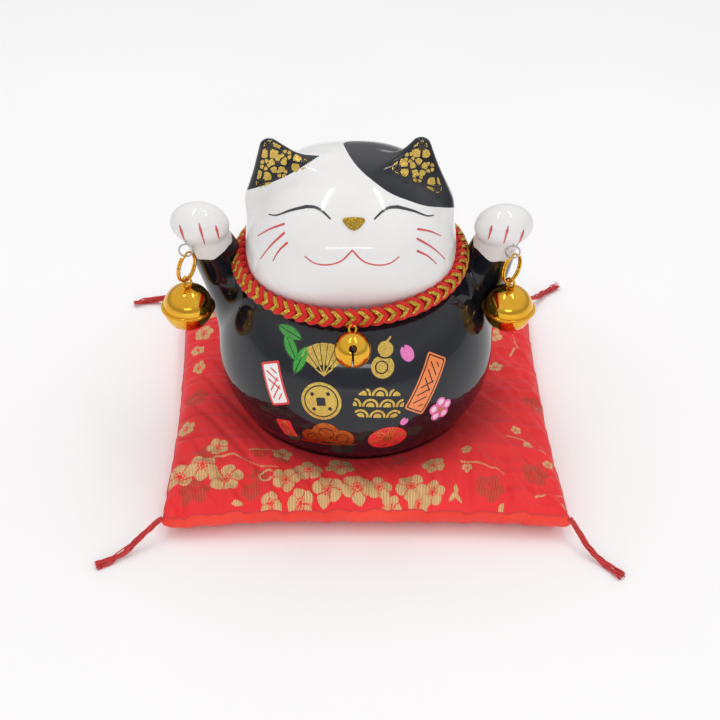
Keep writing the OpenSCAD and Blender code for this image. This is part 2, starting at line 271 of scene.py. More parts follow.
class Shader:
    """Short names for building a node material."""

    def __init__(self, name, **sockets):
        self.material = bpy.data.materials.new(name)
        self.material.use_nodes = True
        self.nodes, self.links = self.material.node_tree.nodes, self.material.node_tree.links
        self.main = self.nodes["Principled BSDF"]
        for socket, value in sockets.items():
            self.main.inputs[socket.replace("_", " ")].default_value = value
        self.where = self.nodes.new("ShaderNodeTexCoord").outputs["Object"]

    def add(self, kind, inputs, **settings):
        """A node with its settings, and a value or a link for each input."""
        node = self.nodes.new(kind)
        for key, value in settings.items():
            setattr(node, key, value)
        for key, value in inputs.items():
            socket = node.inputs[key]
            if isinstance(value, bpy.types.NodeSocket):
                self.links.new(value, socket)
            else:
                socket.default_value = value
        return node

    def math(self, operation, a, b=0.0, c=0.0):
        return self.add("ShaderNodeMath", {0: a, 1: b, 2: c}, operation=operation).outputs[0]

    def stored(self, name):
        return self.add("ShaderNodeAttribute", {}, attribute_name=name).outputs["Fac"]

    def noise(self, scale, detail=3.0, rough=0.5):
        node = self.add(
            "ShaderNodeTexNoise",
            {"Vector": self.where, "Scale": scale, "Detail": detail, "Roughness": rough},
        )
        return node.outputs["Fac"]

    def waves(self, scale, direction="X", bend=0.0):
        node = self.add(
            "ShaderNodeTexWave",
            {"Vector": self.where, "Scale": scale, "Distortion": bend},
            bands_direction=direction,
        )
        return node.outputs["Fac"]

    def ramp(self, value, low, high, a, b):
        """Colour that goes from a at low to b at high."""
        return self.mix(self.level(value, low, high), a, b)

    def mix(self, share, a, b):
        a, b = (v if isinstance(v, bpy.types.NodeSocket) else (*v, 1) for v in (a, b))
        return self.add("ShaderNodeMix", {0: share, 6: a, 7: b}, data_type="RGBA").outputs[2]

    def level(self, value, low, high, a=0.0, b=1.0):
        """Number that goes from a at low to b at high."""
        node = self.add(
            "ShaderNodeMapRange",
            {"Value": value, "From Min": low, "From Max": high, "To Min": a, "To Max": b},
        )
        node.clamp = True
        return node.outputs["Result"]

    def colour(self, value):
        self.links.new(value, self.main.inputs["Base Color"])

    def rough(self, value):
        self.links.new(value, self.main.inputs["Roughness"])

    def metal(self, value):
        self.links.new(value, self.main.inputs["Metallic"])

    def bump(self, height, strength, distance):
        node = self.add("ShaderNodeBump", {"Height": height, "Strength": strength, "Distance": distance})
        self.links.new(node.outputs["Normal"], self.main.inputs["Normal"])


def glaze(name):
    """Glossy fired glaze: white body glaze, with black overglaze where the stored number is above 0."""
    s = Shader(name, Roughness=0.06, Specular_IOR_Level=0.48)
    cloud = s.noise(60, 4)
    white = s.ramp(cloud, 0.3, 0.7, (0.76, 0.757, 0.742), (0.80, 0.797, 0.785))
    black = s.ramp(cloud, 0.35, 0.7, (0.006, 0.007, 0.011), (0.010, 0.012, 0.018))
    edge = s.level(s.stored("black"), -0.04, 0.04)
    specks = s.level(s.noise(2600, 2), 0.72, 0.78)
    white = s.mix(s.math("MULTIPLY", specks, 0.25), white, (0.62, 0.60, 0.56))
    s.colour(s.mix(edge, white, black))
    s.rough(s.level(s.noise(240, 5), 0.3, 0.7, 0.045, 0.085))
    peel = s.math("ADD", s.noise(55, 2), s.math("MULTIPLY", s.noise(420, 3), 0.12))
    s.bump(peel, 0.10, 0.0006)
    return s.material


def enamel(name, low, high, rough=0.22):
    """Fired coloured transfer with a slight print grain."""
    s = Shader(name, Coat_Weight=0.5, Coat_Roughness=0.05)
    s.colour(s.ramp(s.noise(900, 4), 0.3, 0.7, low, high))
    s.rough(s.level(s.noise(1800, 3), 0.3, 0.7, rough - 0.06, rough + 0.08))
    s.bump(s.noise(2500, 2), 0.08, 0.0001)
    return s.material


def gold_foil(name, light=(0.96, 0.70, 0.18), dark=(0.36, 0.21, 0.03)):
    """Bright gold transfer with a sandy grain."""
    s = Shader(name, Metallic=1.0)
    grain = s.noise(3200, 3, 0.7)
    s.colour(s.ramp(grain, 0.36, 0.6, dark, light))
    s.rough(s.level(grain, 0.3, 0.7, 0.36, 0.16))
    creases = s.math("MULTIPLY", s.noise(330, 2), 4.0)
    s.bump(s.math("ADD", grain, creases), 0.55, 0.00030)
    return s.material


def polished_gold(name):
    """Bright plated brass with faint wipe marks and tiny pits."""
    s = Shader(name, Metallic=1.0)
    wear = s.noise(160, 5, 0.6)
    s.colour(s.ramp(wear, 0.3, 0.75, (0.86, 0.50, 0.055), (0.80, 0.38, 0.022)))
    marks = s.waves(900, "Z", bend=3.0)
    s.rough(s.level(s.math("ADD", wear, s.math("MULTIPLY", marks, 0.25)), 0.4, 0.95, 0.05, 0.13))
    pits = s.level(s.noise(3800, 2), 0.30, 0.36, 1.0, 0.0)
    s.bump(s.math("SUBTRACT", s.noise(110, 2), s.math("MULTIPLY", pits, 0.4)), 0.06, 0.0004)
    return s.material


def steel_wire(name):
    """Drawn wire with a fine grain."""
    s = Shader(name, Metallic=1.0)
    drawn = s.noise(1400, 4, 0.7)
    s.colour(s.ramp(drawn, 0.3, 0.7, (0.42, 0.42, 0.43), (0.70, 0.70, 0.70)))
    s.rough(s.level(drawn, 0.3, 0.7, 0.18, 0.36))
    s.bump(drawn, 0.12, 0.00008)
    return s.material


def thread(name, dark, light, twist=900):
    """Twisted shiny thread."""
    s = Shader(name, Sheen_Weight=0.05, Specular_IOR_Level=0.25)
    strand = s.waves(twist, "DIAGONAL", bend=2.0)
    fuzz = s.noise(2400, 3, 0.7)
    # Painted highlight: the colour is lightened along the twist's ridges.
    s.colour(s.mix(s.math("MULTIPLY", strand, 0.6), s.ramp(fuzz, 0.3, 0.7, dark, light), light))
    s.rough(s.level(fuzz, 0.3, 0.7, 0.5, 0.72))
    s.bump(s.math("ADD", strand, s.math("MULTIPLY", fuzz, 0.5)), 0.5, 0.00025)
    return s.material


def gold_thread(name):
    """Flat metallic ribbon wound round a core, so it glitters unevenly."""
    s = Shader(name, Metallic=0.9)
    turns = s.waves(620, "DIAGONAL", bend=4.0)
    glint = s.noise(1100, 3, 0.8)
    s.colour(s.ramp(glint, 0.35, 0.62, (0.34, 0.17, 0.01), (1.0, 0.70, 0.12)))
    s.rough(s.level(glint, 0.3, 0.7, 0.42, 0.16))
    s.bump(s.math("ADD", turns, glint), 0.8, 0.0003)
    return s.material


def satin(name):
    """Plain red satin: fine cross threads and a soft sheen."""
    s = Shader(name, Sheen_Weight=0.08, Specular_IOR_Level=0.3)
    weave = s.math("ADD", s.waves(1500, "X"), s.math("MULTIPLY", s.waves(700, "Y", bend=1.0), 0.5))
    tone = s.noise(45, 3)
    s.colour(s.ramp(tone, 0.3, 0.7, (0.80, 0.034, 0.020), (0.90, 0.060, 0.034)))
    s.rough(s.level(weave, 0.0, 1.5, 0.42, 0.58))
    s.bump(weave, 0.16, 0.00015)
    return s.material


def brocade(name):
    """Red brocade woven with gold plum blossom; the stored numbers hold each pattern's outline."""
    s = Shader(name, Sheen_Weight=0.06, Specular_IOR_Level=0.22)
    ribs = s.waves(950, "X", bend=0.6)
    cross = s.waves(2100, "Y")
    tone = s.noise(35, 4)
    red = s.ramp(tone, 0.3, 0.7, (0.76, 0.018, 0.024), (0.86, 0.032, 0.036))
    # Painted highlight: the red is lightened along the weave's ribs, as where light catches their crests.
    red = s.mix(s.math("MULTIPLY", ribs, 0.18), red, (0.94, 0.075, 0.07))
    frayed = s.math("MULTIPLY", s.math("SUBTRACT", s.noise(1500, 3, 0.7), 0.5), 0.9)
    gold_at = s.level(s.math("ADD", s.stored("gold"), frayed), -0.12, 0.12)
    dark_at = s.level(s.math("ADD", s.stored("shade"), frayed), -0.12, 0.12)
    stripes = s.level(s.waves(560, "X", bend=2.5), 0.15, 0.7)
    gold = s.mix(stripes, (0.42, 0.17, 0.06), (0.88, 0.60, 0.28))
    shade = s.mix(stripes, (0.36, 0.006, 0.012), (0.58, 0.11, 0.05))
    s.colour(s.mix(gold_at, s.mix(s.math("MULTIPLY", dark_at, 0.75), red, shade), gold))
    s.rough(s.level(gold_at, 0, 1, 0.52, 0.34))
    s.metal(s.math("MULTIPLY", gold_at, 0.25))
    raised = s.math("ADD", s.math("MULTIPLY", gold_at, 0.9), s.math("MULTIPLY", ribs, 0.3))
    s.bump(s.math("ADD", raised, s.math("MULTIPLY", cross, 0.2)), 0.35, 0.0003)
    return s.material


def rubber(name):
    """Matt black rubber."""
    s = Shader(name)
    grain = s.noise(900, 4)
    s.colour(s.ramp(grain, 0.3, 0.7, (0.018, 0.018, 0.018), (0.032, 0.032, 0.031)))
    s.rough(s.level(grain, 0.3, 0.7, 0.55, 0.75))
    s.bump(grain, 0.15, 0.0002)
    return s.material


GLAZE = glaze("two_tone_glaze")
GOLD = polished_gold("polished_gold")
FOIL = gold_foil("gold_foil")
NOSE_FOIL = gold_foil("nose_foil", (0.62, 0.40, 0.06), (0.20, 0.12, 0.015))
RED_FOIL = gold_foil("copper_foil", (0.78, 0.24, 0.05), (0.30, 0.06, 0.02))
STEEL = steel_wire("drawn_steel")
RED_CORD = thread("red_cord", (0.54, 0.010, 0.008), (0.74, 0.024, 0.018))
GOLD_CORD = gold_thread("gold_cord")
TASSEL_THREAD = thread("tassel_thread", (0.50, 0.018, 0.024), (0.74, 0.08, 0.075), 1400)
SATIN = satin("red_satin")
BROCADE = brocade("plum_brocade")
CHARCOAL = enamel("charcoal_enamel", (0.016, 0.018, 0.021), (0.03, 0.033, 0.038))
LINE_RED = enamel("line_red_enamel", (0.52, 0.06, 0.055), (0.64, 0.11, 0.095))
BRIGHT_RED = enamel("bright_red_enamel", (0.66, 0.022, 0.025), (0.76, 0.04, 0.04))
LEAF_GREEN = enamel("leaf_green_enamel", (0.018, 0.27, 0.022), (0.05, 0.42, 0.04))
LEAF_DARK = enamel("leaf_dark_enamel", (0.004, 0.03, 0.006), (0.006, 0.05, 0.01))
PINK = enamel("pink_enamel", (0.74, 0.14, 0.44), (0.83, 0.23, 0.54))
PALE_PINK = enamel("pale_pink_enamel", (0.87, 0.62, 0.75), (0.93, 0.74, 0.84))
ORANGE = enamel("orange_enamel", (0.80, 0.19, 0.045), (0.90, 0.27, 0.07))
TAG_WHITE = enamel("tag_white_enamel", (0.80, 0.80, 0.78), (0.88, 0.88, 0.86))

# ---------------------------------------------------------------- tassels


def spline(points, steps):
    """A smooth line through given points."""
    p = np.asarray(points, float)
    p = np.concatenate([[2 * p[0] - p[1]], p, [2 * p[-1] - p[-2]]])
    line = []
    for i in range(1, len(p) - 2):
        for t in np.arange(steps) / steps:
            a, b, c, d = p[i - 1 : i + 3]
            bend, twist = 2 * a - 5 * b + 4 * c - d, 3 * b - a - 3 * c + d
            line.append(0.5 * (2 * b + (c - a) * t + bend * t**2 + twist * t**3))
    return np.array(line + [p[-2]])


def make_tassel(name, route):
    """Twisted threads that open out a little at the free end."""
    line = spline(route, 8)
    ahead = np.gradient(line, axis=0)
    side = np.cross(ahead, (0, 0, 1))
    side /= np.linalg.norm(side, axis=1)[:, None]
    over = np.cross(side, ahead)
    over /= np.linalg.norm(over, axis=1)[:, None]
    share = np.linspace(0, 1, len(line))
    strands, inner, outer = [], 4, 9
    for k in range(inner + outer):
        ring_r, count = (0.34, inner) if k < inner else (0.86, outer)
        start = 2 * np.pi * (k % inner if k < inner else k - inner) / count
        stray = rng.uniform(-1.2, 1.2, 2)
        angle = start + 2 * np.pi * 1.6 * share + 0.25 * np.sin(7 * share + k)
        spread = ring_r * (0.92 + 0.12 * np.sin(9 * share + 2 * k)) + 0.10 * share**4
        path = (
            line
            + (np.cos(angle) * spread + stray[0] * share**2)[:, None] * side
            + (np.sin(angle) * spread + stray[1] * share**2)[:, None] * over
        )
        path[:, 2] = np.maximum(path[:, 2], 0.33)
        thick = np.full(len(path), 0.27)
        thick[-1] = rng.uniform(0.12, 0.26)
        strands.append(tube(path, thick, 6))
    points, faces = merge_parts(strands)
    obj = add_mesh(name, points, faces, TASSEL_THREAD)
    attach(obj, "cushion")
    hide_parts("tassel_" + name.replace("_tassel", ""))


for corner, route in TASSEL_ROUTES.items():
    make_tassel(corner + "_tassel", route)

# ---------------------------------------------------------------- ceramic fields
#
# A field gives the rough distance from each point to a surface, negative inside.


def egg_distance(p, radii):
    """Distance to an ellipsoid at the origin."""
    near = np.sqrt(sum((p[i] / radii[i]) ** 2 for i in range(3)))
    slope = np.sqrt(sum((p[i] / radii[i] ** 2) ** 2 for i in range(3)))
    return near * (near - 1) / np.maximum(slope, 1e-6)


def limb_distance(p, a, b, r_a, r_b):
    """Distance to a round limb between two points."""
    ab = b - a
    t = sum((p[i] - a[i]) * ab[i] for i in range(3)) / float(ab @ ab)
    t = np.clip(t, 0, 1)
    return np.sqrt(sum((p[i] - a[i] - t * ab[i]) ** 2 for i in range(3))) - (r_a + t * (r_b - r_a))


def belly_distance(p):
    x, y, z = (p[i] - TORSO_AT[i] for i in range(3))
    high = np.where(z < 0, BELLY_LOW, BELLY_HIGH)
    return egg_distance((x, y, z), (BELLY_R, BELLY_R, high))


def paw_at(side):
    return np.array([PAW_MID_X + side * PAW[0], PAW[1], PAW[2]])


def shoulder_at(side):
    return np.array([TORSO_AT[0] + side * SHOULDER[0], SHOULDER[1], SHOULDER[2]])


SHOULDER_R, WRIST_R = 11.2, 7.6
FIST, FIST_TILT = (11.2, 8.5, 8.2), 0.14
ARM_BLEND, FIST_BLEND = 9.0, 1.0
NECK_ROUND, FOOT_ROUND = 2.0, 2.4
FOOT_RECESS, RECESS_R, PLUG_R = 1.8, 31.2, 12.0
SLOT_Z, SLOT_HALF_LONG, SLOT_HALF_HIGH, SLOT_ROUND, SLOT_FROM_Y = 58.0, 13.4, 0.9, 1.6, 20


def body_skin(p):
    """Torso, arms and paws from outside."""
    d = belly_distance(p)
    d = smooth_max(d, p[2] - NECK_Z, NECK_ROUND)
    for side in (-1, 1):
        arm = limb_distance(p, shoulder_at(side), paw_at(side), SHOULDER_R, WRIST_R)
        d = smooth_min(d, arm, ARM_BLEND)
    for side in (-1, 1):
        at = paw_at(side)
        tilt = FIST_TILT * side
        x, z = p[0] - at[0], p[2] - at[2]
        fist = egg_distance((x + tilt * z, p[1] - at[1], z - tilt * x), FIST)
        d = smooth_min(d, fist, FIST_BLEND)
    return smooth_max(d, FOOT_Z - p[2], FOOT_ROUND)


def body_solid(p):
    """The casting with its hollow, foot ring, base hole and coin slot."""
    x, y, z = (p[i] - TORSO_AT[i] for i in range(3))
    z = z + TORSO_AT[2]
    r = np.hypot(x, y)
    floor_z = FOOT_Z + FOOT_RECESS + WALL
    inside = smooth_max(belly_distance(p) + WALL, floor_z - z, 2.0)
    inside = smooth_max(inside, z - (NECK_Z - WALL), 2.0)
    d = smooth_max(body_skin(p), -inside, 0.5)
    recess = smooth_max(r - RECESS_R, z - (FOOT_Z + FOOT_RECESS), 0.8)
    d = smooth_max(d, -recess, 1.2)
    d = smooth_max(d, -np.maximum(r - PLUG_R, z - floor_z - 1), 0.5)
    past_long = np.maximum(np.abs(x) - SLOT_HALF_LONG, 0)
    past_high = np.maximum(np.abs(z - SLOT_Z) - SLOT_HALF_HIGH, 0)
    slot = np.hypot(past_long, past_high) - SLOT_ROUND
    return smooth_max(d, -smooth_max(slot, -y + SLOT_FROM_Y, 0.5), 1.4)


HEAD_R = (39.9, 37.6, 31.3)
HEAD_SQUARE = 2.4  # 2 would be an ellipsoid, more is boxier
CHEEK_TAPER = 0.055  # how much narrower the forehead is than the cheeks
HEAD_LEAN = math.radians(2.0)
# Each ear: one base corner, the tip, the other base corner
EARS = {
    "left": ((-40.6, -2.0, 105.2), (-36.2, -5.0, 126.0), (-23.0, -6.0, 116.8)),
    "right": ((9.6, -6.5, 116.4), (19.0, -5.0, 126.6), (26.4, -7.0, 106.2)),
}
EAR_ROUND, EAR_EDGE, EAR_BLEND = 3.9, 2.6, 8.0
EAR_THICK_TIP, EAR_THICK_BASE = 2.0, 3.4


def skull_distance(p):
    x, y, z = (p[i] - HEAD_AT[i] for i in range(3))
    x, z = (
        x * math.cos(HEAD_LEAN) + z * math.sin(HEAD_LEAN),
        z * math.cos(HEAD_LEAN) - x * math.sin(HEAD_LEAN),
    )
    n = HEAD_SQUARE
    cheeks = 1 - CHEEK_TAPER * smooth_step(-8, 24, z)
    near = sum(np.abs(q) ** n for q in (x / (HEAD_R[0] * cheeks), y / HEAD_R[1], z / HEAD_R[2]))
    near = np.maximum(near, 1e-6) ** (1 / n)
    return np.sqrt(x * x + y * y + z * z) * (1 - 1 / near)


def ear_distance(p, base_a, tip, base_b):
    """A plate with rounded corners, thicker towards its base; the points are its corners' middles."""
    a, t, b = (np.asarray(v, float) for v in (base_a, tip, base_b))
    across = unit(b - a)
    facing = unit(np.cross(b - a, t - a))
    rise = np.cross(facing, across)
    rel = [p[i] - a[i] for i in range(3)]
    s, r, off = (sum(rel[i] * axis[i] for i in range(3)) for axis in (across, rise, facing))
    flat = [((v - a) @ across, (v - a) @ rise) for v in (a, t, b)]
    best, inside = np.full_like(s, 1e9), np.ones_like(s, bool)
    for (s0, r0), (s1, r1) in zip(flat, flat[1:] + flat[:1]):
        best = np.minimum(best, to_segment(s, r, (s0, r0), (s1, r1))[0])
        inside &= (s - s0) * (r1 - r0) - (r - r0) * (s1 - s0) >= 0
    outline = np.where(inside, -best, best) - EAR_ROUND
    share = np.clip(r / flat[1][1], 0, 1)
    thick = EAR_THICK_BASE + (EAR_THICK_TIP - EAR_THICK_BASE) * share
    return smooth_max(outline, np.abs(off) - thick, EAR_EDGE)


def head_skin(p):
    d = skull_distance(p)
    for ear in EARS.values():
        d = smooth_min(d, ear_distance(p, *ear), EAR_BLEND)
    return d


def head_solid(p):
    d = smooth_max(head_skin(p), -(skull_distance(p) + WALL), 0.5)
    return smooth_max(d, NECK_Z - p[2], 1.0)


def slope(field, points, h=0.05):
    """Unit normals of a field at points."""
    out = np.empty_like(points)
    for axis in range(3):
        step = np.zeros(3)
        step[axis] = h
        out[:, axis] = field((points + step).T) - field((points - step).T)
    return out / np.maximum(np.linalg.norm(out, axis=1)[:, None], 1e-9)


def mesh_field(field, low, high, cell):
    """Quads on the zero level of a field, drawn onto it point by point."""
    low, high = np.asarray(low, float), np.asarray(high, float)
    counts = np.ceil((high - low) / cell).astype(int) + 1
    axes = [low[i] + cell * np.arange(counts[i]) for i in range(3)]
    values = np.empty(counts, np.float32)
    for i, x in enumerate(axes[0]):
        y, z = np.meshgrid(axes[1], axes[2], indexing="ij")
        values[i] = field((np.full_like(y, x), y, z))
    grid = openvdb.FloatGrid(float(cell * 4))
    grid.copyFromArray(values / cell)
    points, quads = grid.convertToQuads(0.0)
    points = low + np.asarray(points, float) * cell
    for _ in range(4):
        gap = field(points.T)
        points -= (0.8 * np.clip(gap, -cell, cell))[:, None] * slope(field, points)
    return points, np.asarray(quads)[:, ::-1], slope(field, points)


def add_casting(name, field, low, high, cell):
    points, quads, normals = mesh_field(field, low, high, cell)
    a, b, c = (points[quads[:, k]] for k in range(3))
    if (np.cross(b - a, c - a) * normals[quads[:, 0]]).sum() < 0:
        quads = quads[:, ::-1]
    obj = add_mesh(name, points, quads, GLAZE)
    obj.data.normals_split_custom_set_from_vertices(normals.tolist())
    return obj, points, normals


# The face from the camera's height: u runs to the right, v up, in a plane through the head's middle
FACE_SIDE = np.array([1.0, 0.0, 0.0])
FACE_UP = np.array([0.0, math.sin(VIEW_UP), math.cos(VIEW_UP)])
FACE_AIM = np.array([0.0, math.cos(VIEW_UP), -math.sin(VIEW_UP)])


def face_uv(points):
    rel = points - HEAD_AT
    return rel @ FACE_SIDE, rel @ FACE_UP


GLAZE_LINE = 11.3  # how far down the arm from the paw's middle the black glaze starts


def make_body():
    obj, points, normals = add_casting(
        "body_casting", body_solid, (-80, -66, 6), (70, 54, 108), 0.95
    )
    black = np.full(len(points), 1e3)
    for side in (-1, 1):
        axis = unit(shoulder_at(side) - paw_at(side))
        along = (points - paw_at(side)) @ axis
        wave = 0.5 * np.sin(points[:, 0] * 0.9) + 0.35 * np.sin(points[:, 1] * 1.3 + 1)
        black = np.minimum(black, along - GLAZE_LINE + wave)
    add_number(obj, "black", black)
    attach(obj, "figurine")
    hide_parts("torso_shell", "left_arm", "right_arm")


# In the camera's view: the round black patch, and the lower edge of the other ear's black front
PATCH_AT, PATCH_R, PATCH_BACK_Y = (30.0, 42.0), 34.5, 13.0
EAR_LINE, EAR_SAG = ((-36.3, 15.0), (-14.4, 24.6)), 1.4


def make_head():
    obj, points, normals = add_casting(
        "head_casting", head_solid, (-52, -50, 70), (40, 40, 138), 0.85
    )
    u, v = face_uv(points)
    edge = 0.12 * np.sin(u * 0.5 + 1)
    patch = PATCH_R - np.hypot(u - PATCH_AT[0], v - PATCH_AT[1]) + edge
    patch = smooth_min(patch, PATCH_BACK_Y - points[:, 1] + edge, 6)
    a, b = (np.array(p) for p in EAR_LINE)
    across = unit(b - a)
    over = np.array([-across[1], across[0]])
    along = (u - a[0]) * across[0] + (v - a[1]) * across[1]
    above = (u - a[0]) * over[0] + (v - a[1]) * over[1]
    half = np.linalg.norm(b - a) / 2
    sag = EAR_SAG * (1 - ((along - half) / half) ** 2)
    front = -4 * normals[:, 1] - 0.15
    ear = np.minimum(np.minimum(above + sag, front), -8 - u)
    add_number(obj, "black", np.maximum(patch, ear))
    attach(obj, "figurine")
    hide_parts("head_shell")


make_body()
make_head()

# ---------------------------------------------------------------- flat shapes
#
# A shape is a function of (s, t) in millimetres that is negative inside.


def disc(x, y, r):
    return lambda s, t: np.hypot(s - x, t - y) - r


def oval(x, y, a, b):
    def shape(s, t):
        p, q = s - x, t - y
        near = np.hypot(p / a, q / b)
        return near * (near - 1) / np.maximum(np.hypot(p / a**2, q / b**2), 1e-6)

    return shape


def bar(x, y, w, h, round_r=0.0):
    def shape(s, t):
        p = np.abs(s - x) - w / 2 + round_r
        q = np.abs(t - y) - h / 2 + round_r
        return np.hypot(np.maximum(p, 0), np.maximum(q, 0)) + np.minimum(np.maximum(p, q), 0) - round_r

    return shape


def stroke(points, start, end=None):
    """A brush line whose width goes from start to end."""
    p = np.asarray(points, float)
    end = start if end is None else end
    run = np.concatenate([[0], np.cumsum(np.linalg.norm(np.diff(p, axis=0), axis=1))])

    def shape(s, t):
        best = np.full_like(s, 1e9)
        for i in range(len(p) - 1):
            near, f = to_segment(s, t, p[i], p[i + 1])
            share = (run[i] + f * (run[i + 1] - run[i])) / run[-1]
            best = np.minimum(best, near - 0.5 * (start + (end - start) * share))
        return best

    return shape


def brush(points, start, end=None, steps=10):
    return stroke(spline(points, steps), start, end)


def corners(points, round_r=0.0):
    """A filled polygon with rounded corners."""
    p = np.asarray(points, float)

    def shape(s, t):
        best, odd = np.full_like(s, 1e9), np.zeros_like(s, bool)
        for a, b in zip(p, np.roll(p, -1, 0)):
            best = np.minimum(best, to_segment(s, t, a, b)[0])
            crosses = (a[1] > t) != (b[1] > t)
            odd ^= crosses & (s < (b[0] - a[0]) * (t - a[1]) / (b[1] - a[1] + 1e-12) + a[0])
        return np.where(odd, -best, best) - round_r

    return shape


def either(*shapes):
    return lambda s, t: np.minimum.reduce([f(s, t) for f in shapes])


def both(*shapes):
    return lambda s, t: np.maximum.reduce([f(s, t) for f in shapes])


def without(shape, *holes):
    return lambda s, t: np.maximum(shape(s, t), -np.minimum.reduce([f(s, t) for f in holes]))


def moved(shape, x, y, turn=0):
    c, k = math.cos(math.radians(turn)), math.sin(math.radians(turn))
    return lambda s, t: shape((s - x) * c + (t - y) * k, (t - y) * c - (s - x) * k)


def on_ring(r, count, start, x=0.0, y=0.0):
    """Points spaced evenly round a place, the first at an angle in degrees."""
    turns = np.radians(start + 360 / count * np.arange(count))
    return [(x + r * math.cos(a), y + r * math.sin(a)) for a in turns]


def blossom(x, y, r, turn=0, gap=0.09):
    """Plum blossom: five notched petals round a small eye."""
    petals = [disc(*at, 0.44 * r) for at in on_ring(0.56 * r, 5, 90 + turn, x, y)]
    gaps = [disc(*at, 0.075 * r) for at in on_ring(0.30 * r, 5, 90 + turn, x, y)]
    ends = (on_ring(share * r, 5, 126 + turn, x, y) for share in (0.12, 1.05))
    gaps += [stroke(line, gap * r) for line in zip(*ends)]
    return without(either(*petals), disc(x, y, 0.13 * r), *gaps)


def cut_shape(shape, box, step):
    """Flat mesh of the inside of a shape, cut exactly along its outline."""
    s = np.arange(box[0], box[2] + step, step)
    t = np.arange(box[1], box[3] + step, step)
    d = shape(*np.meshgrid(s, t, indexing="ij"))
    inside = d < 0
    known, points, faces = {}, [], []

    def spot(key, place):
        if key not in known:
            known[key] = len(points)
            points.append(place)
        return known[key]

    near = inside[:-1, :-1] | inside[1:, :-1] | inside[:-1, 1:] | inside[1:, 1:]
    for i, j in zip(*np.nonzero(near)):
        ring = ((i, j), (i + 1, j), (i + 1, j + 1), (i, j + 1))
        face = []
        for a, b in zip(ring, ring[1:] + ring[:1]):
            if inside[a]:
                face.append(spot(a, (s[a[0]], t[a[1]])))
            if inside[a] != inside[b]:
                low, high = min(a, b), max(a, b)
                f = min(max(d[low] / (d[low] - d[high]), 0.02), 0.98)
                place = (
                    s[low[0]] + f * (s[high[0]] - s[low[0]]),
                    t[low[1]] + f * (t[high[1]] - t[low[1]]),
                )
                face.append(spot((low, high), place))
        faces.append(face)
    return np.array(points, float), faces


def land(points, aim, field):
    """Moves points along a direction until they meet a field's surface."""
    for _ in range(60):
        points = points + 0.85 * field(points.T)[:, None] * aim
    return points


SINK, LANDED = 0.12, 0.05  # how deep a transfer reaches into the glaze, how close a point has to land


def transfer(name, shape, box, place, field, material, rise=0.09, step=0.22, far=9.0):
    """A thin fired layer in the outline of a flat shape, laid on a glazed surface.

    The flat mesh starts this far in front of its place and moves along the place's last axis.
    """
    flat, faces = cut_shape(shape, box, step * (1))
    origin, side, up, aim = place
    points = origin + flat[:, :1] * side + flat[:, 1:] * up - far * aim
    points = land(points, aim, field)
    landed = np.abs(field(points.T)) < LANDED
    faces = [f for f in faces if landed[f].all()]
    used = np.unique(np.concatenate(faces))
    again = np.full(len(points), -1)
    again[used] = np.arange(len(used))
    faces, points = [again[f].tolist() for f in faces], points[used]
    normals = slope(field, points)
    n = len(points)
    edges = {(f[k], f[(k + 1) % len(f)]) for f in faces for k in range(len(f))}
    walls = [[b, a, a + n, b + n] for a, b in edges if (b, a) not in edges]
    solid = faces + [[i + n for i in f[::-1]] for f in faces] + walls
    both_faces = np.concatenate([points + rise * normals, points - SINK * normals])
    obj = add_mesh(name, both_faces, solid, material)
    sharpen(obj, 50)
    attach(obj, "figurine")


def on_belly(angle, z, tilt=0.0):
    """Frame of a place on the torso: angle from the front towards +X, and height."""
    turn = math.radians(angle)
    out = np.array([math.sin(turn), -math.cos(turn), 0])
    half = BELLY_LOW if z < TORSO_AT[2] else BELLY_HIGH
    r = BELLY_R * math.sqrt(1 - ((z - TORSO_AT[2]) / half) ** 2)
    origin = np.array([TORSO_AT[0], TORSO_AT[1], z]) + out * r
    normal = slope(body_skin, origin[None])[0]
    side = unit(np.cross((0, 0, 1), normal))
    up = np.cross(normal, side)
    c, k = math.cos(math.radians(tilt)), math.sin(math.radians(tilt))
    return origin, c * side + k * up, c * up - k * side, -normal


FACE = (HEAD_AT, FACE_SIDE, FACE_UP, FACE_AIM)

# ---------------------------------------------------------------- face, paws and ears


def both_sides(points, mirror_at):
    return [points, [(2 * mirror_at - u, v) for u, v in points]]


def paint_face():
    middle = -0.5
    outer_lid = [(-30.4, 4.4), (-27.5, 3.9), (-22.5, 5.4), (-16.8, 6.6)]
    inner_lid = [(-16.8, 6.6), (-13.6, 6.2), (-11.0, 4.6), (-8.4, 2.0)]
    lids = [brush(side, 0.35, 1.25) for side in both_sides(outer_lid, middle)]
    lids += [brush(side, 1.25, 0.6) for side in both_sides(inner_lid, middle)]
    transfer("eye_lines", either(*lids), (-33, 0, 33, 9), FACE, head_skin, CHARCOAL)
    mouth = [(-17.3, -11.3), (-14.0, -13.6), (-9.5, -14.3), (-4.5, -13.0), (-0.5, -9.2)]
    lips = [brush(side, 0.4, 0.62) for side in both_sides(mouth, middle)]
    transfer("mouth_line", either(*lips), (-19, -16, 19, -8), FACE, head_skin, LINE_RED)
    hairs = [
        [(-24.9, 0.5), (-29.8, -1.0), (-34.4, -3.1)],
        [(-24.8, -2.8), (-29.4, -6.8), (-33.4, -11.4)],
        [(-23.8, -6.4), (-26.7, -9.1), (-28.8, -12.5)],
        [(23.2, -1.2), (27.8, -1.7), (32.0, -3.0)],
        [(23.0, -4.7), (28.9, -7.6), (34.0, -11.2)],
        [(23.1, -9.0), (27.0, -10.6), (30.5, -13.1)],
    ]
    whiskers = either(*[brush(hair, 0.85, 0.35) for hair in hairs])
    transfer("whiskers", whiskers, (-37, -15, 36, 2), FACE, head_skin, LINE_RED)
    nose = corners([(-3.0, 1.3), (0, 1.5), (3.0, 1.3), (1.4, -0.6), (0, -1.3), (-1.4, -0.6)], 1.0)
    transfer("nose", nose, (-5, -4, 5, 4), FACE, head_skin, NOSE_FOIL, 0.35, 0.15)


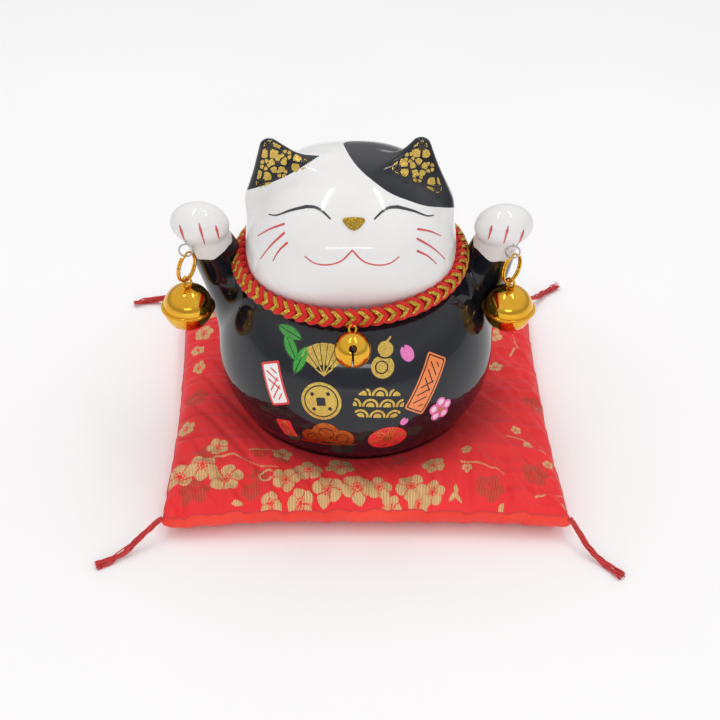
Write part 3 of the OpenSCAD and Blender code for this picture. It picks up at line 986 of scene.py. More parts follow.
def paint_claws():
    claws = {
        "left": [((-7.0, -1.3), (-5.1, -7.4)), ((0.2, -0.6), (2.1, -7.8)), ((6.3, -1.3), (7.4, -5.9))],
        "right": [((-5.3, -0.6), (-6.3, -5.5)), ((0.6, -1.0), (-0.6, -7.0)), ((6.7, -2.1), (5.1, -7.8))],
    }
    for name, pairs in claws.items():
        place = (paw_at(SIDES[name]["sign"]), FACE_SIDE, FACE_UP, FACE_AIM)
        lines = []
        for top, tip in pairs:
            near = (top[0] + 0.3 * (tip[0] - top[0]), top[1] + 0.3 * (tip[1] - top[1]))
            lines.append(stroke([top, near], 0.35, 1.0))
            lines.append(stroke([near, tip], 1.0, 0.3))
        transfer(name + "_claws", either(*lines), (-9, -9, 9, 1), place, body_skin, LINE_RED)


def paint_ears():
    outline = {
        "left": [(-33.4, 17.0), (-30.4, 29.4), (-18.0, 23.1)],
        "right": [(16.2, 21.6), (25.2, 29.8), (31.0, 15.0)],
    }
    for name, points in outline.items():
        (ax, ay), (bx, by), (cx, cy) = points
        middle = ((ax + bx + cx) / 3, (ay + by + cy) / 3)
        spots = [(middle, 3.4)]
        for (px, py), (qx, qy) in zip(points, points[1:] + points[:1]):
            spots += [((px, py), 4.5), (((px + qx) / 2, (py + qy) / 2), 2.0)]
        flowers = [blossom(u, v, r, 23 * k, 0.20) for k, ((u, v), r) in enumerate(spots)]
        low, high = np.min(points, axis=0) - 3, np.max(points, axis=0) + 3
        shape = both(corners(points, 1.9), either(*flowers))
        box = (*low, *high)
        transfer(name + "_ear_foil", shape, box, FACE, head_skin, FOIL, 0.12, 0.14, far=48.0)


paint_face()
paint_claws()
paint_ears()

# ---------------------------------------------------------------- decorations on the torso


def belly_motif(name, shape, size, place, material, rise=0.09, step=0.2):
    w, h = size
    transfer(name, shape, (-w / 2 - 1, -h / 2 - 1, w / 2 + 1, h / 2 + 1), place, body_skin, material,
             rise, step)


def lattice(w, h, pitch, line):
    """Crossed diagonal lines within a box."""
    reach = w + h
    lines = []
    for k in np.arange(-reach, reach, pitch):
        lines.append(stroke([(k, -reach), (k + 2 * reach, reach)], line))
        lines.append(stroke([(k, reach), (k + 2 * reach, -reach)], line))
    return both(bar(0, 0, w, h, 0.4), either(*lines))


def leaf(length, width):
    """Pointed leaf along +S with its stalk end at the origin."""
    r = (length**2 / 4 + width**2 / 4) / width
    drop = r - width / 2
    return both(disc(length / 2, drop, r), disc(length / 2, -drop, r))


def paint_leaves():
    spots = [(-35.2, 68.3, 171), (-32.4, 64.1, 132), (-26.5, 60.9, 76)]
    for k, (angle, z, turn) in enumerate(spots):
        place = on_belly(angle, z, turn)
        under = moved(leaf(12.6, 5.4), -6.3, 0)
        blade = without(moved(leaf(11.2, 4.2), -5.6, 0), stroke([(-7, 0), (7, 0)], 0.5, 0.25))
        belly_motif(f"leaf_shade_{k + 1}", under, (14, 8), place, LEAF_DARK, 0.05)
        belly_motif(f"leaf_{k + 1}", blade, (13, 6), place, LEAF_GREEN, 0.12)


def paint_tags():
    white = on_belly(-36.5, 49.3, 26)
    belly_motif("white_tag_border", bar(0, 0, 8.4, 17.0, 0.8), (10, 19), white, BRIGHT_RED, 0.05)
    belly_motif("white_tag", bar(0, 0, 6.6, 15.2, 0.5), (8, 17), white, TAG_WHITE, 0.10)
    belly_motif("white_tag_pattern", lattice(4.6, 12.4, 3.1, 0.55), (7, 15), white, BRIGHT_RED, 0.15)
    small = on_belly(-31, 30.5, 15)
    belly_motif("small_tag", bar(0, 0, 6.5, 9.0, 0.7), (8, 11), small, BRIGHT_RED, 0.06)
    rings = [without(disc(0, y, 1.7), disc(0, y, 1.0)) for y in (-2.1, 2.1)]
    belly_motif("small_tag_rings", either(*rings), (6, 9), small, FOIL, 0.12)
    orange = on_belly(28.6, 51.7, -33)
    frame_line = without(bar(0, 0, 8.7, 23.0, 1.0), bar(0, 0, 7.5, 21.8, 0.7))
    belly_motif("orange_tag_border", frame_line, (10, 25), orange, ORANGE, 0.07)
    panel = without(bar(0, 0, 6.5, 20.8, 0.5), lattice(4.2, 18.0, 3.2, 0.5))
    belly_motif("orange_tag", panel, (8, 22), orange, ORANGE, 0.09)


def fan(r_in, r_out, half_angle, ribs):
    """Open folding fan, its pivot at the origin."""
    a = math.radians(half_angle)

    def wedge(s, t):
        return (np.abs(np.arctan2(s, t)) - a) * np.hypot(s, t)

    def spokes(length, turns, width):
        return [stroke([(0, 0), (length * math.sin(b), length * math.cos(b))], width) for b in turns]

    sheet = without(both(wedge, disc(0, 0, r_out)), disc(0, 0, r_in))
    folds = spokes(r_out, np.linspace(-a, a, ribs + 1)[1:-1], 0.3)
    sticks = spokes(r_in, np.linspace(-a, a, 5), 0.5)
    return either(without(sheet, *folds), *sticks)


def cloud(w, h):
    """Low cloud of three swirled lobes on a flat line."""
    lobes, swirls = [], []
    line = 0.38
    sizes = ((-0.27, -0.08, 0.30, 0.16), (0, 0.12, 0.38, 0.21), (0.27, -0.06, 0.32, 0.17))
    for side, height, lobe_r, swirl_r in sizes:
        x, y, r = side * w, height * h, swirl_r * h
        lobes.append(disc(x, y, lobe_r * h))
        swirls.append(without(disc(x, y, r), disc(x, y, r - line), bar(x - r, y - r, r, r)))
    tail = stroke([(-0.5 * w, -0.36 * h), (0.5 * w, -0.36 * h)], 0.09 * h, 0.04 * h)
    return either(without(either(*lobes), *swirls), tail)


def waves(w, h):
    """Rows of overlapping ring waves."""
    cells = []
    pitch = w / 3
    for row, y in enumerate((-0.33 * h, -0.03 * h, 0.27 * h)):
        for k in range(-2, 3):
            x = (k + 0.5 * (row % 2)) * pitch
            crest = both(disc(x, y, 0.48 * pitch), lambda s, t, y=y: y - 0.3 - t)
            cells.append(without(crest, without(disc(x, y, 0.34 * pitch), disc(x, y, 0.24 * pitch))))
    return both(either(*cells), oval(0, 0, w / 2, h / 2))


def paint_gold():
    fan_shape = moved(fan(4.0, 12.0, 52, 7), 0, -5.6)
    belly_motif("gold_fan", fan_shape, (21, 14), on_belly(-16, 62.5, 8), FOIL)
    gourd = either(disc(0, -3.4, 4.3), disc(0.2, 3.2, 2.9), stroke([(0.3, 5.6), (1.6, 7.8)], 1.0, 0.6))
    cord_band = stroke([(-3.4, 0.5), (0, -0.1), (3.4, 0.5)], 0.6)
    gourd = without(gourd, cord_band, without(disc(-0.4, -3.6, 2.5), disc(-0.4, -3.6, 2.0)))
    belly_motif("gold_gourd", gourd, (13, 18), on_belly(10.5, 64.0, -12), FOIL)
    coin = without(
        disc(0, 0, 7.6), bar(0, 0, 3.4, 3.4, 0.3), without(disc(0, 0, 6.5), disc(0, 0, 6.0)),
        *[disc(*spot, 0.75) for spot in on_ring(4.3, 4, 45)],
    )
    belly_motif("gold_coin", coin, (17, 17), on_belly(-15.5, 47.5, 10), FOIL)
    belly_motif("gold_waves", waves(19, 15), (21, 17), on_belly(7.6, 47.0, -6), FOIL)
    belly_motif("copper_cloud", cloud(21, 14), (24, 16), on_belly(-13, 31.5, 6), RED_FOIL)


def paint_flowers():
    at = on_belly(34.8, 39.1)
    petals = either(*[disc(*spot, 2.15) for spot in on_ring(3.1, 5, 90)])
    belly_motif("pink_blossom", petals, (11, 11), at, PINK, 0.07)
    hearts = either(*[disc(*spot, 1.25) for spot in on_ring(3.3, 5, 90)])
    belly_motif("pink_blossom_light", hearts, (11, 11), at, PALE_PINK, 0.11)
    rays = [stroke([(0, 0), tip], 0.28) for tip in on_ring(2.5, 5, 54)]
    belly_motif("pink_blossom_eye", either(disc(0, 0, 0.85), *rays), (7, 7), at, FOIL, 0.15)
    for k, (angle, z, w, h, tilt) in enumerate([(21.4, 64.2, 5.0, 6.5, 20), (18.2, 38.4, 3.0, 3.6, -30)]):
        notch = corners([(-0.7, h / 2 + 0.4), (0.7, h / 2 + 0.4), (0, h / 2 - 1.2)])
        petal = without(oval(0, 0, w / 2, h / 2), notch)
        belly_motif(f"loose_petal_{k + 1}", petal, (w, h), on_belly(angle, z, tilt), PINK)


def paint_thread_ball():
    at = on_belly(12, 30.5)
    outline = oval(0, 0, 7.4, 6.3)
    belly_motif("thread_ball", outline, (17, 14), at, BRIGHT_RED, 0.06)
    bands = []
    for turn in (0, 60, 120):
        a = math.radians(turn + 15)
        c, k = math.cos(a), math.sin(a)
        for off in (-1.0, 0.0, 1.0):
            ends = [(far * c - off * k, far * k + off * c) for far in (-9, 9)]
            bands.append(stroke(ends, 0.34))
    star = both(either(*bands), oval(0, 0, 6.9, 5.8))
    belly_motif("thread_ball_bands", either(star, disc(0, 0, 1.1)), (16, 13), at, FOIL, 0.11)


paint_leaves()
paint_tags()
paint_gold()
paint_flowers()
paint_thread_ball()

# ---------------------------------------------------------------- cushion

HALF = CUSHION_W / 2
FOOT_R = 35.3
EDGE_RISE = 1.1  # how much higher the seam lies between the corners
TOP_CELLS = 300


def plan(u, v):
    return HALF * u * (1 - SIDE_PULL * (1 - v * v)), HALF * v * (1 - SIDE_PULL * (1 - u * u))


def rim_walk(steps):
    """Cushion numbers (u, v) and places (x, y) of points all round its edge."""
    side = np.linspace(-1, 1, steps + 1)[:-1]
    one = np.ones_like(side)
    u = np.concatenate([side, one, -side, -one])
    v = np.concatenate([-one, side, one, -side])
    return (u, v, *plan(u, v))


def ripple(x, seed):
    """Irregular gathers along a sewn edge, from -1 to 1."""
    wide, middle = 0.5 * np.sin(0.47 * x + seed), 0.3 * np.sin(0.83 * x + 2.3 * seed)
    return wide + middle + 0.2 * np.sin(1.31 * x + 0.7 * seed)


def seam_wave(x, y):
    """How far the seam strays from its level height."""
    return 0.8 * np.sin(0.11 * x + 0.6) * np.cos(0.07 * y) + 1.1 * ripple(x + 0.6 * y, 1.4)


def under_cat(x, y):
    """Height of the torso's underside above a place on the cushion."""
    r = np.hypot(x - TORSO_AT[0], y - TORSO_AT[1])
    ball = TORSO_AT[2] - BELLY_LOW * np.sqrt(np.clip(1 - (r / BELLY_R) ** 2, 0, 1))
    return np.where(r < BELLY_R - 0.5, np.maximum(ball, FOOT_Z), 60.0), r


def top_height(u, v):
    x, y = plan(u, v)
    loft = np.sqrt(np.clip((1 - u**4) * (1 - v**4), 0, 1))
    free = SEAM_Z + (CROWN_Z - SEAM_Z) * loft
    free = free + (seam_wave(x, y) + EDGE_RISE * (1 - (u * v) ** 6)) * (1 - loft) ** 0.5
    for along, across, seed in ((x, 1 - np.abs(v), 0.4), (y, 1 - np.abs(u), 2.1)):
        side = np.where(along is x, np.sign(v), np.sign(u))
        away = across * HALF
        free = free + 2.0 * ripple(along, seed + side) * np.exp(-away / 7) * (away / 4)
    free = free + loft * (0.5 * np.sin(0.09 * x + 0.05 * y) + 0.4 * np.sin(0.08 * y - 0.06 * x + 1))
    diagonal = np.abs(np.abs(x) - np.abs(y))
    corner = np.minimum(np.abs(x), np.abs(y))
    near_corner = smooth_step(40, 62, corner) * (1 - smooth_step(70, 75, corner))
    free = free - 0.9 * np.exp(-((diagonal - 2.5) / 2.2) ** 2) * near_corner
    roof, r = under_cat(x, y)
    free = free - 5.0 * np.exp(-((np.maximum(r - 43, 0) / 13) ** 2))
    z = smooth_min(free, roof - 0.15, 2.0)
    return np.where(r < FOOT_R, np.minimum(z, FOOT_Z - 0.15), z)


# Woven flowers on the cushion: x, y and radius
GOLD_FRONT = [
    (-70, -57, 5.6), (-61.5, -54, 5.4), (-52.5, -60.5, 6.0), (-56, -43.5, 3.8), (-30, -62, 4.8),
    (-14.5, -66.5, 5.2), (-3.5, -65.5, 5.6), (4.5, -66, 4.6), (16.5, -65.5, 5.2), (24.5, -67.5, 4.2),
    (25.5, -54.5, 4.0), (-35.5, -72, 3.6), (-24.5, -71.5, 4.4), (9, -72.5, 3.6), (19, -72, 3.4),
    (38, -57, 1.8), (38.5, -47, 1.8), (59, -33, 1.9), (63, -41, 1.8), (70, -49, 2.0), (74, -71, 1.7),
]
GOLD_SHADED = [(-21.5, -57.5, 5.0), (-9.5, -53.5, 5.2), (-31.5, -46.5, 3.6)]
GOLD_SIDES = [
    (-62, 53, 4.2), (-65, 36, 3.6), (-67, 24, 2.6), (-66, 12, 2.4), (-69, -28, 3.2), (56, 33, 3.6),
    (55, 11, 2.8), (66, 48, 4.4), (60, 60, 3.8), (-56, 64, 4.6), (-38, 60, 5.2), (-24, 66, 4.6),
    (-8, 61, 5.4), (6, 67, 4.4), (20, 61, 5.0), (36, 66, 5.2), (46, 57, 3.6),
]
RED_SHADE = [
    (-40, -47, 3.4), (-32, -49.5, 3.6), (-43, -67, 3.8), (13, -48.5, 3.2), (-64, -66, 6.0), (-60, -47, 5.0),
    (-40, -60, 3.6), (46, -66, 5.6), (64, -57, 5.4), (48, 47, 5.4), (-52, 46, 5.6), (68, -12, 5.0),
    (-66, -8, 5.0), (-10, 54, 4.4),
]
BRANCHES = [
    [(-57, -49), (-50, -48), (-45, -52), (-38, -55.5), (-33, -56.5)],
    [(-44, -45), (-36, -44.5), (-28, -45)],
    [(36, -54), (42, -54.5), (47, -57.5), (52, -59)],
    [(55, -37), (61, -38), (65, -42), (69.5, -44.5)],
    [(63, -69), (68, -66.5), (74, -66)],
    [(40, 60), (48, 64), (54, 70)],
    [(-50, 56), (-44, 52), (-36, 50)],
    [(62, 20), (66, 27), (65, 36)],
]


def weave_patterns(x, y):
    """Outlines of the gold and the darker red flowers, positive inside, in millimetres."""
    flowers = GOLD_FRONT + GOLD_SHADED + GOLD_SIDES
    gold = [blossom(a, b, 1.12 * r, 31 * k) for k, (a, b, r) in enumerate(flowers)]
    gold += [stroke(branch, 0.7, 0.5) for branch in BRANCHES]
    gold.append(without(disc(-37.4, -60.2, 2.9), disc(-37.4, -60.2, 2.0), bar(-34.8, -60.2, 3, 2.4)))
    for k, (a, b) in enumerate([(30.5, -71), (33.2, -69.2), (35.6, -71.4), (-45.5, -71.5), (51, -71)]):
        gold.append(moved(leaf(4.6, 1.7), a, b, 40 + 50 * k))
    dark = [blossom(a, b, r, 17 * k, 0.05) for k, (a, b, r) in enumerate(RED_SHADE)]
    return -either(*gold)(x, y), -either(*dark)(x, y)


def make_cushion_top():
    steps = np.linspace(-1, 1, TOP_CELLS + 1)
    u, v = np.meshgrid(steps, steps, indexing="ij")
    x, y = plan(u, v)
    z = top_height(u, v)
    points = np.stack([x, y, z], -1).reshape(-1, 3)
    n = TOP_CELLS + 1
    i, j = (a.ravel() for a in np.meshgrid(range(TOP_CELLS), range(TOP_CELLS), indexing="ij"))
    a = i * n + j
    obj = add_mesh("brocade_top", points, np.stack([a, a + n, a + n + 1, a + 1], 1), BROCADE)
    gold, dark = weave_patterns(x.ravel(), y.ravel())
    add_number(obj, "gold", gold)
    add_number(obj, "shade", dark)
    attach(obj, "cushion")
    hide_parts("cushion_top_panel", "cushion_filling")


FRONT_SEAM_X = -7.0
# From the seam to the middle of the underside: distance in from the edge, share of the seam's height
BAND_PROFILE = [
    (0.0, 1.0), (-0.3, 0.95), (-0.45, 0.86), (-0.35, 0.74), (0.1, 0.60), (1.0, 0.45), (2.4, 0.30),
    (4.6, 0.17), (8.0, 0.07), (12.5, 0.015), (18.0, 0.0), (30.0, 0.0), (50.0, 0.0), (68.0, 0.0),
]


def make_cushion_base():
    """Satin lower cloth: a soft upright band that tucks under to the flat base."""
    u, v, x, y = rim_walk(TOP_CELLS)
    rim_z = top_height(u, v)
    along = np.where(np.abs(v) >= np.abs(u), x, y)
    rows = []
    profile = np.array(BAND_PROFILE)
    fine = np.concatenate([np.linspace(0, 8, 25), np.arange(9, len(profile))])
    inset = np.interp(fine, range(len(profile)), profile[:, 0])
    share = np.interp(fine, range(len(profile)), profile[:, 1])
    for d, h in zip(inset, share):
        soft = 4 * h * (1 - h)
        bulge = -0.35 * soft * ripple(along + 3 * h, 2.2) - 0.5 * soft * np.sin(0.09 * along + 1)
        seam = np.exp(-(((x - FRONT_SEAM_X) / 0.9) ** 2)) * (v < -0.99) * smooth_step(0, 0.25, soft)
        shrink = 1 - (d + bulge + 0.5 * seam) / HALF
        lift = 0.45 * (1 + np.sin(0.13 * along + 2 * h)) * h * (1 - h)
        rows.append(np.stack([x * shrink, y * shrink, rim_z * h + lift], 1))
    points = np.concatenate(rows + [np.zeros((1, 3))])
    n, faces = len(x), []
    for k in range(len(rows) - 1):
        for m in range(n):
            a, b = k * n + m, k * n + (m + 1) % n
            faces.append([a, a + n, b + n, b])
    last = (len(rows) - 1) * n
    faces += [[last + m, len(points) - 1, last + (m + 1) % n] for m in range(n)]
    obj = add_mesh("satin_base", points, faces, SATIN)
    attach(obj, "cushion")
    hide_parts("cushion_bottom_panel")


SEAM_R, SEAM_INSET = 0.32, 0.9985


def make_seam_shade_line():
    """The folded edges of both cloths, sewn together: a thin ridge round the cushion, its dark red painted
    shade for the shadow line along the seam.
    """
    u, v, x, y = rim_walk(120)
    path = np.stack([x * SEAM_INSET, y * SEAM_INSET, top_height(u, v)], 1)
    points, faces = tube(path, SEAM_R, 6, closed=True)
    obj = add_mesh("cushion_seam_shade_line", points, faces, TASSEL_THREAD)
    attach(obj, "cushion")


make_cushion_top()
make_cushion_base()
make_seam_shade_line()

# ---------------------------------------------------------------- wire parts and paw bells


def place_mesh(obj, turn, at):
    """Turns and moves a mesh's own points; the object stays at the origin."""
    m = Matrix(np.asarray(turn).tolist()).to_4x4()
    obj.data.transform(Matrix.Translation(Vector(at) * MM) @ m)


def ring_path(r, steps=64):
    """Circle standing on edge in the XZ plane."""
    a = 2 * np.pi * np.arange(steps) / steps
    return np.stack([r * np.cos(a), 0 * a, r * np.sin(a)], 1)


def make_eyelet(name, spec):
    ring = tube(ring_path(EYELET_R), EYELET_WIRE / 2, 12, closed=True, up=(0, 1, 0))
    twist = []
    z = np.linspace(EYELET_R - 0.1, EYELET_R + 5.5, 40)
    for start in (0, np.pi):
        a = start + 2.2 * (z - z[0])
        path = np.stack([0.22 * np.cos(a), 0.22 * np.sin(a), z], 1)
        twist.append(tube(path, EYELET_WIRE * 0.36, 8, up=(0, 1, 0)))
    points, faces = merge_parts([ring, *twist])
    obj = add_mesh(name + "_wire_eye", points, faces, STEEL)
    place_mesh(obj, np.eye(3), (spec["x"], EYELET_Y, EYELET_Z))
    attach(obj, "figurine")
    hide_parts(name + "_eyelet")


RING_SHIFT = 0.41


def make_split_ring(name, spec):
    """Two turns of wire with a crossover, ends cut square and eased."""
    a = np.radians(np.arange(25, 696, 4.0))
    shift = RING_SHIFT * (2 * smooth_step(math.radians(338), math.radians(382), a) - 1)
    path = np.stack([RING_R * np.sin(a), shift, RING_R * np.cos(a)], 1)
    wire = np.full(len(a), RING_WIRE / 2 - 0.015)
    wire[[0, -1]] *= 0.7
    points, faces = tube(path, wire, 12, up=(0, 1, 0))
    obj = add_mesh(name + "_key_ring", points, faces, GOLD)
    sharpen(obj, 60)
    place_mesh(obj, turn_about("Z", spec["turn"]), (spec["x"], EYELET_Y, RING_Z))
    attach(obj, name + "_ring")
    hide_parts(name + "_split_ring")


BELL_SHEET, FLANGE_H, BELL_LOOP_R, BELL_LOOP_WIRE = 0.5, 0.48, 1.9, 0.9
SLOT_HALF, SLOT_HALF_WIDE, SLOT_END_R = 6.0, 0.8, 1.6


def bell_cup(r, sheet, flange_r, flange_h, steps):
    """Closed outline of half a bell with its rolled flange, pole upwards."""
    low = math.degrees(math.asin((flange_h + 0.25) / r))
    outer = arc((0, 0), r, low, 90, steps)
    outer[-1] = (0, r)
    neck = [(r + 0.18, flange_h + 0.02)]
    lip = [(flange_r - 0.28, flange_h)] + arc((flange_r - 0.3, flange_h / 2), flange_h / 2, 80, -80, 6)
    inner = arc((0, 0), r - sheet, 90, 1, steps)
    inner[0] = (0, r - sheet)
    return lip[::-1] + neck + outer + inner


def prism(outline, low, high):
    """Closed upright prism on a flat outline."""
    n = len(outline)
    points = [(x, y, low) for x, y in outline] + [(x, y, high) for x, y in outline]
    faces = [list(range(n))[::-1], [n + k for k in range(n)]]
    faces += [[k, (k + 1) % n, n + (k + 1) % n, n + k] for k in range(n)]
    return np.array(points, float), faces


def slot_cutter(half_long, half_wide, hole_r, depth):
    """Prisms for a bell's slot: a straight cut with a round hole at each end."""
    box = [(i * half_long, j * half_wide) for i, j in ((-1, -1), (1, -1), (1, 1), (-1, 1))]
    holes = [on_ring(hole_r, 36, 0, x) for x in (-half_long, half_long)]
    return [prism(outline, -depth - 2, -1.2) for outline in (box, *holes)]


def fix_normals(obj):
    bm = bmesh.new()
    bm.from_mesh(obj.data)
    bmesh.ops.remove_doubles(bm, verts=bm.verts, dist=1e-6)
    bmesh.ops.recalc_face_normals(bm, faces=bm.faces)
    bm.to_mesh(obj.data)
    bm.free()
    obj.data.polygons.foreach_set("use_smooth", [True] * len(obj.data.polygons))


def make_bell(name, spec):
    at = (spec["x"], EYELET_Y, BELL_Z)
    spin = turn_about("Z", spec["turn"])
    r = BELL_D / 2
    steps = 128
    cup = bell_cup(r, BELL_SHEET, FLANGE_D / 2, FLANGE_H, steps // 4)
    points, faces = revolve(cup, steps)
    upper = add_mesh(name + "_bell_crown", points, faces, GOLD)
    lower = add_mesh(name + "_bell_cup", points * (1, 1, -1), [f[::-1] for f in faces], GOLD)
    cutters = []
    for k, cutter in enumerate(slot_cutter(SLOT_HALF, SLOT_HALF_WIDE, SLOT_END_R, r)):
        cutters.append(add_mesh(f"cutter_{k}", *cutter))
    cut_away(lower, cutters)
    for obj, node in ((upper, "_bell_upper"), (lower, "_bell_lower")):
        fix_normals(obj)
        sharpen(obj, 32)
        place_mesh(obj, spin, at)
        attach(obj, name + "_bell")
        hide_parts(name + node)
    points, faces = tube(ring_path(BELL_LOOP_R, 48), BELL_LOOP_WIRE / 2, 12, closed=True, up=(0, 1, 0))
    loop = add_mesh(name + "_bell_hanger", points, faces, GOLD)
    place_mesh(loop, turn_about("Z", spec["turn"] + 90), (spec["x"], EYELET_Y, BELL_LOOP_Z))
    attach(loop, name + "_bell")
    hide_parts(name + "_bell_loop")


for side_name, side_spec in SIDES.items():
    make_eyelet(side_name, side_spec)
    make_split_ring(side_name, side_spec)
    make_bell(side_name, side_spec)

# ---------------------------------------------------------------- collar

COLLAR_TURN = turn_about("Y", COLLAR_TILT[1]) @ turn_about("X", COLLAR_TILT[0])
BRAID_REPEATS = 56
BRAID_VIEW = 34  # angle round the cord of the line where the gold threads meet
LOBE_REACH, BRAID_CORE_R, GOLD_THREAD_R = 2.7, 2.3, 0.43


def on_cord(turn, angle, depth):
    """Places on the collar: turn round the neck, angle round the cord, distance from its middle."""
    out = COLLAR_R + depth * np.cos(angle)
    return np.stack([out * np.cos(turn), out * np.sin(turn), depth * np.sin(angle)], -1)


def place_collar(points):
    return points @ COLLAR_TURN.T + COLLAR_AT


def braid_lobe(turn, column, lean):
    """One visible crossing of a fat red strand."""
    t = np.linspace(-1, 1, 11)
    turn = turn + t * LOBE_REACH / COLLAR_R
    path = on_cord(turn, column + lean * t * math.radians(47), 2.15 + 0.3 * (1 - t**2))
    return tube(place_collar(path), 1.5 * np.sqrt(1 - 0.72 * t**2), 12)


def braid_thread(turn, column, lean, off):
    """One of the two gold threads that lie beside a red strand, where the strands meet."""
    t = np.linspace(0.05, 1.0, 8)
    path = on_cord(
        turn + (t * LOBE_REACH + off) / COLLAR_R,
        column + lean * t * math.radians(46),
        3.40 + 0.16 * np.sin(np.pi * t),
    )
    return tube(place_collar(path), GOLD_THREAD_R, 8)


def make_braid():
    lobes, threads = [], []
    a = 2 * np.pi * np.arange(96) / 96
    core = tube(place_collar(on_cord(a, 0 * a, 0)), BRAID_CORE_R, 10, closed=True)
    half = np.pi * COLLAR_R / BRAID_REPEATS
    for k in range(BRAID_REPEATS):
        for c in range(4):
            lean = -1 if c % 2 else 1
            turn = 2 * np.pi * (k + 0.04 * lean) / BRAID_REPEATS
            column = math.radians(90 * c + BRAID_VIEW - 45)
            lobes.append(braid_lobe(turn, column, lean))
            for off in (half - GOLD_THREAD_R, half + GOLD_THREAD_R):
                threads.append(braid_thread(turn, column, lean, off))
    for name, parts, material in (
        ("collar_red_strands", [core, *lobes], RED_CORD), ("collar_gold_threads", threads, GOLD_CORD)
    ):
        points, faces = merge_parts(parts)
        obj = add_mesh(name, points, faces, material)
        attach(obj, "figurine")
        if material is RED_CORD:
            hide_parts("collar_braid")


def make_knot():
    """Flat knot at the back with two short twisted ends."""
    t = 2 * np.pi * np.arange(120) / 120
    middle = np.array([0, COLLAR_R + 1.5, 0])
    across = 2.5 * (np.sin(t) + 1.1 * np.sin(2 * t)) * 0.75
    upright = 2.1 * (np.cos(t) - 1.1 * np.cos(2 * t)) * 0.72
    path = np.stack([across, -1.9 * np.sin(3 * t) * 0.9, upright], 1)
    strands = []
    for start in (0, 2.1, 4.2):
        a = 14 * t + start
        ahead = np.roll(path, -1, 0) - np.roll(path, 1, 0)
        ahead /= np.linalg.norm(ahead, axis=1)[:, None]
        side = np.cross(ahead, (0, 1, 0.2))
        side /= np.linalg.norm(side, axis=1)[:, None]
        over = np.cross(side, ahead)
        line = path + 0.62 * (np.cos(a)[:, None] * side + np.sin(a)[:, None] * over)
        strands.append(tube(place_collar(line + middle), 0.72, 8, closed=True))
    for sign in (-1, 1):
        s = np.linspace(0, 1, 14)[:, None]
        end = np.array([sign * 1.6, 2.6, -2.5]) + s * np.array([sign * 1.9, 1.2, -9.0])
        end[:, 1] += 1.0 * np.sin(np.pi * s[:, 0])
        for k in range(3):
            a = 9 * s[:, 0] + 2.1 * k
            twist = np.stack([0.55 * np.cos(a), 0.55 * np.sin(a), 0 * a], 1)
            line, taper = place_collar(end + twist + middle), np.linspace(0.66, 0.6, 14)
            strands.append(tube(line, taper, 8, up=(0, 1, 0)))
    points, faces = merge_parts(strands)
    obj = add_mesh("collar_back_knot", points, faces, RED_CORD)
    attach(obj, "figurine")
    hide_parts("collar_knot")


LEAN = turn_about("X", -BELL_LEAN)
SMALL_R, SMALL_SHEET, SMALL_LOOP_R, SMALL_LOOP_WIRE = 6.7, 0.4, 1.3, 0.8
SLIT_HALF_WIDE, HEART_R, CUT_FROM_Z = 0.45, 1.5, -1.2
TIE_R, TIE_THREAD_R = 1.1, 0.26


def small_bell_at(drop):
    return TIE_AT + LEAN @ np.array([0, 0, -drop])


def drop_thin(points, faces):
    """Leaves out faces whose points all lie on the axis."""
    return [f for f in faces if max(np.hypot(*points[i][:2]) for i in f) > 1e-6]


def make_collar_bell():
    steps = 120
    outer = arc((0, 0), SMALL_R, -90, 90, steps // 2)
    inner = arc((0, 0), SMALL_R - SMALL_SHEET, 90, -90, steps // 2)
    outer[0], outer[-1] = (0, -SMALL_R), (0, SMALL_R)
    inner[0], inner[-1] = (0, SMALL_R - SMALL_SHEET), (0, -SMALL_R + SMALL_SHEET)
    points, faces = revolve(outer, steps)
    hollow_points, hollow_faces = revolve(inner, steps)
    skins = ((points, faces), (hollow_points, hollow_faces))
    points, faces = merge_parts([(p, drop_thin(p, f)) for p, f in skins])
    shell = add_mesh("collar_bell_petals", points, faces, GOLD)
    cutters = []
    for turn in (0, 90):
        wide = SLIT_HALF_WIDE
        box = [(-wide, -9), (wide, -9), (wide, 9), (-wide, 9)]
        slit = add_mesh(f"slit_{turn}", *prism(box, -9, CUT_FROM_Z))
        place_mesh(slit, turn_about("Z", turn), (0, 0, 0))
        hole = add_mesh(f"hole_{turn}", *prism(on_ring(HEART_R, 30, 0), -9, 9))
        place_mesh(hole, turn_about("Z", turn) @ turn_about("X", 90), (0, 0, 0))
        cutters += [slit, hole]
    cut_away(shell, cutters)
    fix_normals(shell)
    sharpen(shell, 35)
    place_mesh(shell, LEAN, small_bell_at(SMALL_BELL_DROP))
    ring = tube(ring_path(SMALL_LOOP_R, 40), SMALL_LOOP_WIRE / 2, 12, closed=True, up=(0, 1, 0))
    loop = add_mesh("collar_bell_hanger", *ring, GOLD)
    place_mesh(loop, LEAN, small_bell_at(0.33 + SMALL_LOOP_R))
    for obj, node in ((shell, "collar_bell_shell"), (loop, "collar_bell_loop")):
        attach(obj, "collar_bell")
        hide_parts(node)
    turns = np.radians(np.arange(0, 720, 12.0))
    path = np.stack([TIE_R * np.cos(turns), 0.12 * np.sin(turns / 2), TIE_R * np.sin(turns)], 1)
    tie = add_mesh("bell_tie_thread", *tube(path, TIE_THREAD_R, 8, closed=True, up=(0, 1, 0)), RED_CORD)
    place_mesh(tie, LEAN @ turn_about("Z", 90), TIE_AT)
    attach(tie, "collar_tie")
    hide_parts("collar_bell_tie")


make_braid()
make_knot()
make_collar_bell()

# ---------------------------------------------------------------- kept CAD pieces

RUBBER = rubber("plug_rubber")
BALL = steel_wire("rolled_steel")


def finish_cad(node, material):
    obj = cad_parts[node]
    obj.data.materials.clear()
    obj.data.materials.append(material)


finish_cad("coin_stopper", RUBBER)
for pellet in ("left_bell_pellet", "right_bell_pellet", "collar_bell_pellet"):
    finish_cad(pellet, BALL)

# ---------------------------------------------------------------- floor and light


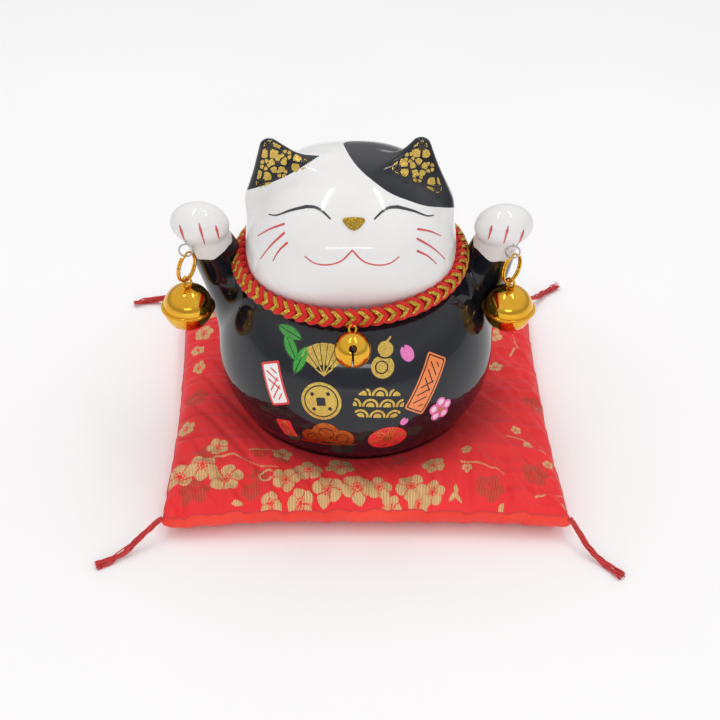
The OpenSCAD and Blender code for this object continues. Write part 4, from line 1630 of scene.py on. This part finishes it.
FLOOR_HALF = 2500
WALL_GREY, CEILING_WHITE, STUDIO_POWER = (0.62, 0.62, 0.64, 1), (1.0, 0.99, 1.0, 1), 0.79


def make_floor():
    far = FLOOR_HALF
    points = [(-far, -far, 0), (far, -far, 0), (far, far, 0), (-far, far, 0)]
    s = Shader("paper_floor", Roughness=0.9, Specular_IOR_Level=0.1)
    s.colour(s.ramp(s.noise(8, 2), 0.3, 0.7, (0.94, 0.937, 0.935), (0.955, 0.952, 0.95)))
    obj = add_mesh("floor", points, [(0, 1, 2, 3)], s.material, smooth=False)


def add_light(name, size, at, target, power, mirrored=True):
    """A flat lamp in watts; one that isn't mirrored only brightens."""
    lamp = bpy.data.lights.new(name, "AREA")
    lamp.shape = "RECTANGLE"
    lamp.size, lamp.size_y = size[0] * MM, size[1] * MM
    lamp.energy = power
    obj = bpy.data.objects.new(name, lamp)
    at, target = Vector(at) * MM, Vector(target) * MM
    obj.matrix_world = Matrix.Translation(at) @ (target - at).to_track_quat("-Z", "Y").to_matrix().to_4x4()
    obj.visible_glossy = mirrored
    bpy.context.scene.collection.objects.link(obj)


def light_scene():
    """A studio with a pale ceiling and darker walls, so that glaze and metal have something to mirror."""
    world = bpy.data.worlds.new("studio")
    world.use_nodes = True
    nodes, links = world.node_tree.nodes, world.node_tree.links
    direction = nodes.new("ShaderNodeTexCoord")
    split = nodes.new("ShaderNodeSeparateXYZ")
    ramp = nodes.new("ShaderNodeValToRGB")
    links.new(direction.outputs["Generated"], split.inputs[0])
    links.new(split.outputs["Z"], ramp.inputs["Fac"])
    for stop, height, tone in zip(ramp.color_ramp.elements, (0.16, 0.42), (WALL_GREY, CEILING_WHITE)):
        stop.position, stop.color = height, tone
    links.new(ramp.outputs["Color"], nodes["Background"].inputs["Color"])
    nodes["Background"].inputs["Strength"].default_value = STUDIO_POWER
    bpy.context.scene.world = world
    bpy.context.scene.view_settings.view_transform = "Standard"
    add_light("top_box", (620, 420), (0, 330, 720), (0, 0, 50), 0.8, mirrored=False)
    for side in (-1, 1):
        add_light(f"ceiling_strip_{side + 2}", (460, 34), (190 * side, 60, 800), (0, 0, 80), 0.5)
    add_light("front_bar", (420, 46), (-40, -760, 300), (0, 0, 60), 0.3)
    add_light("front_fill", (600, 400), (0, -820, 160), (0, 0, 60), 1.3, mirrored=False)


make_floor()
light_scene()
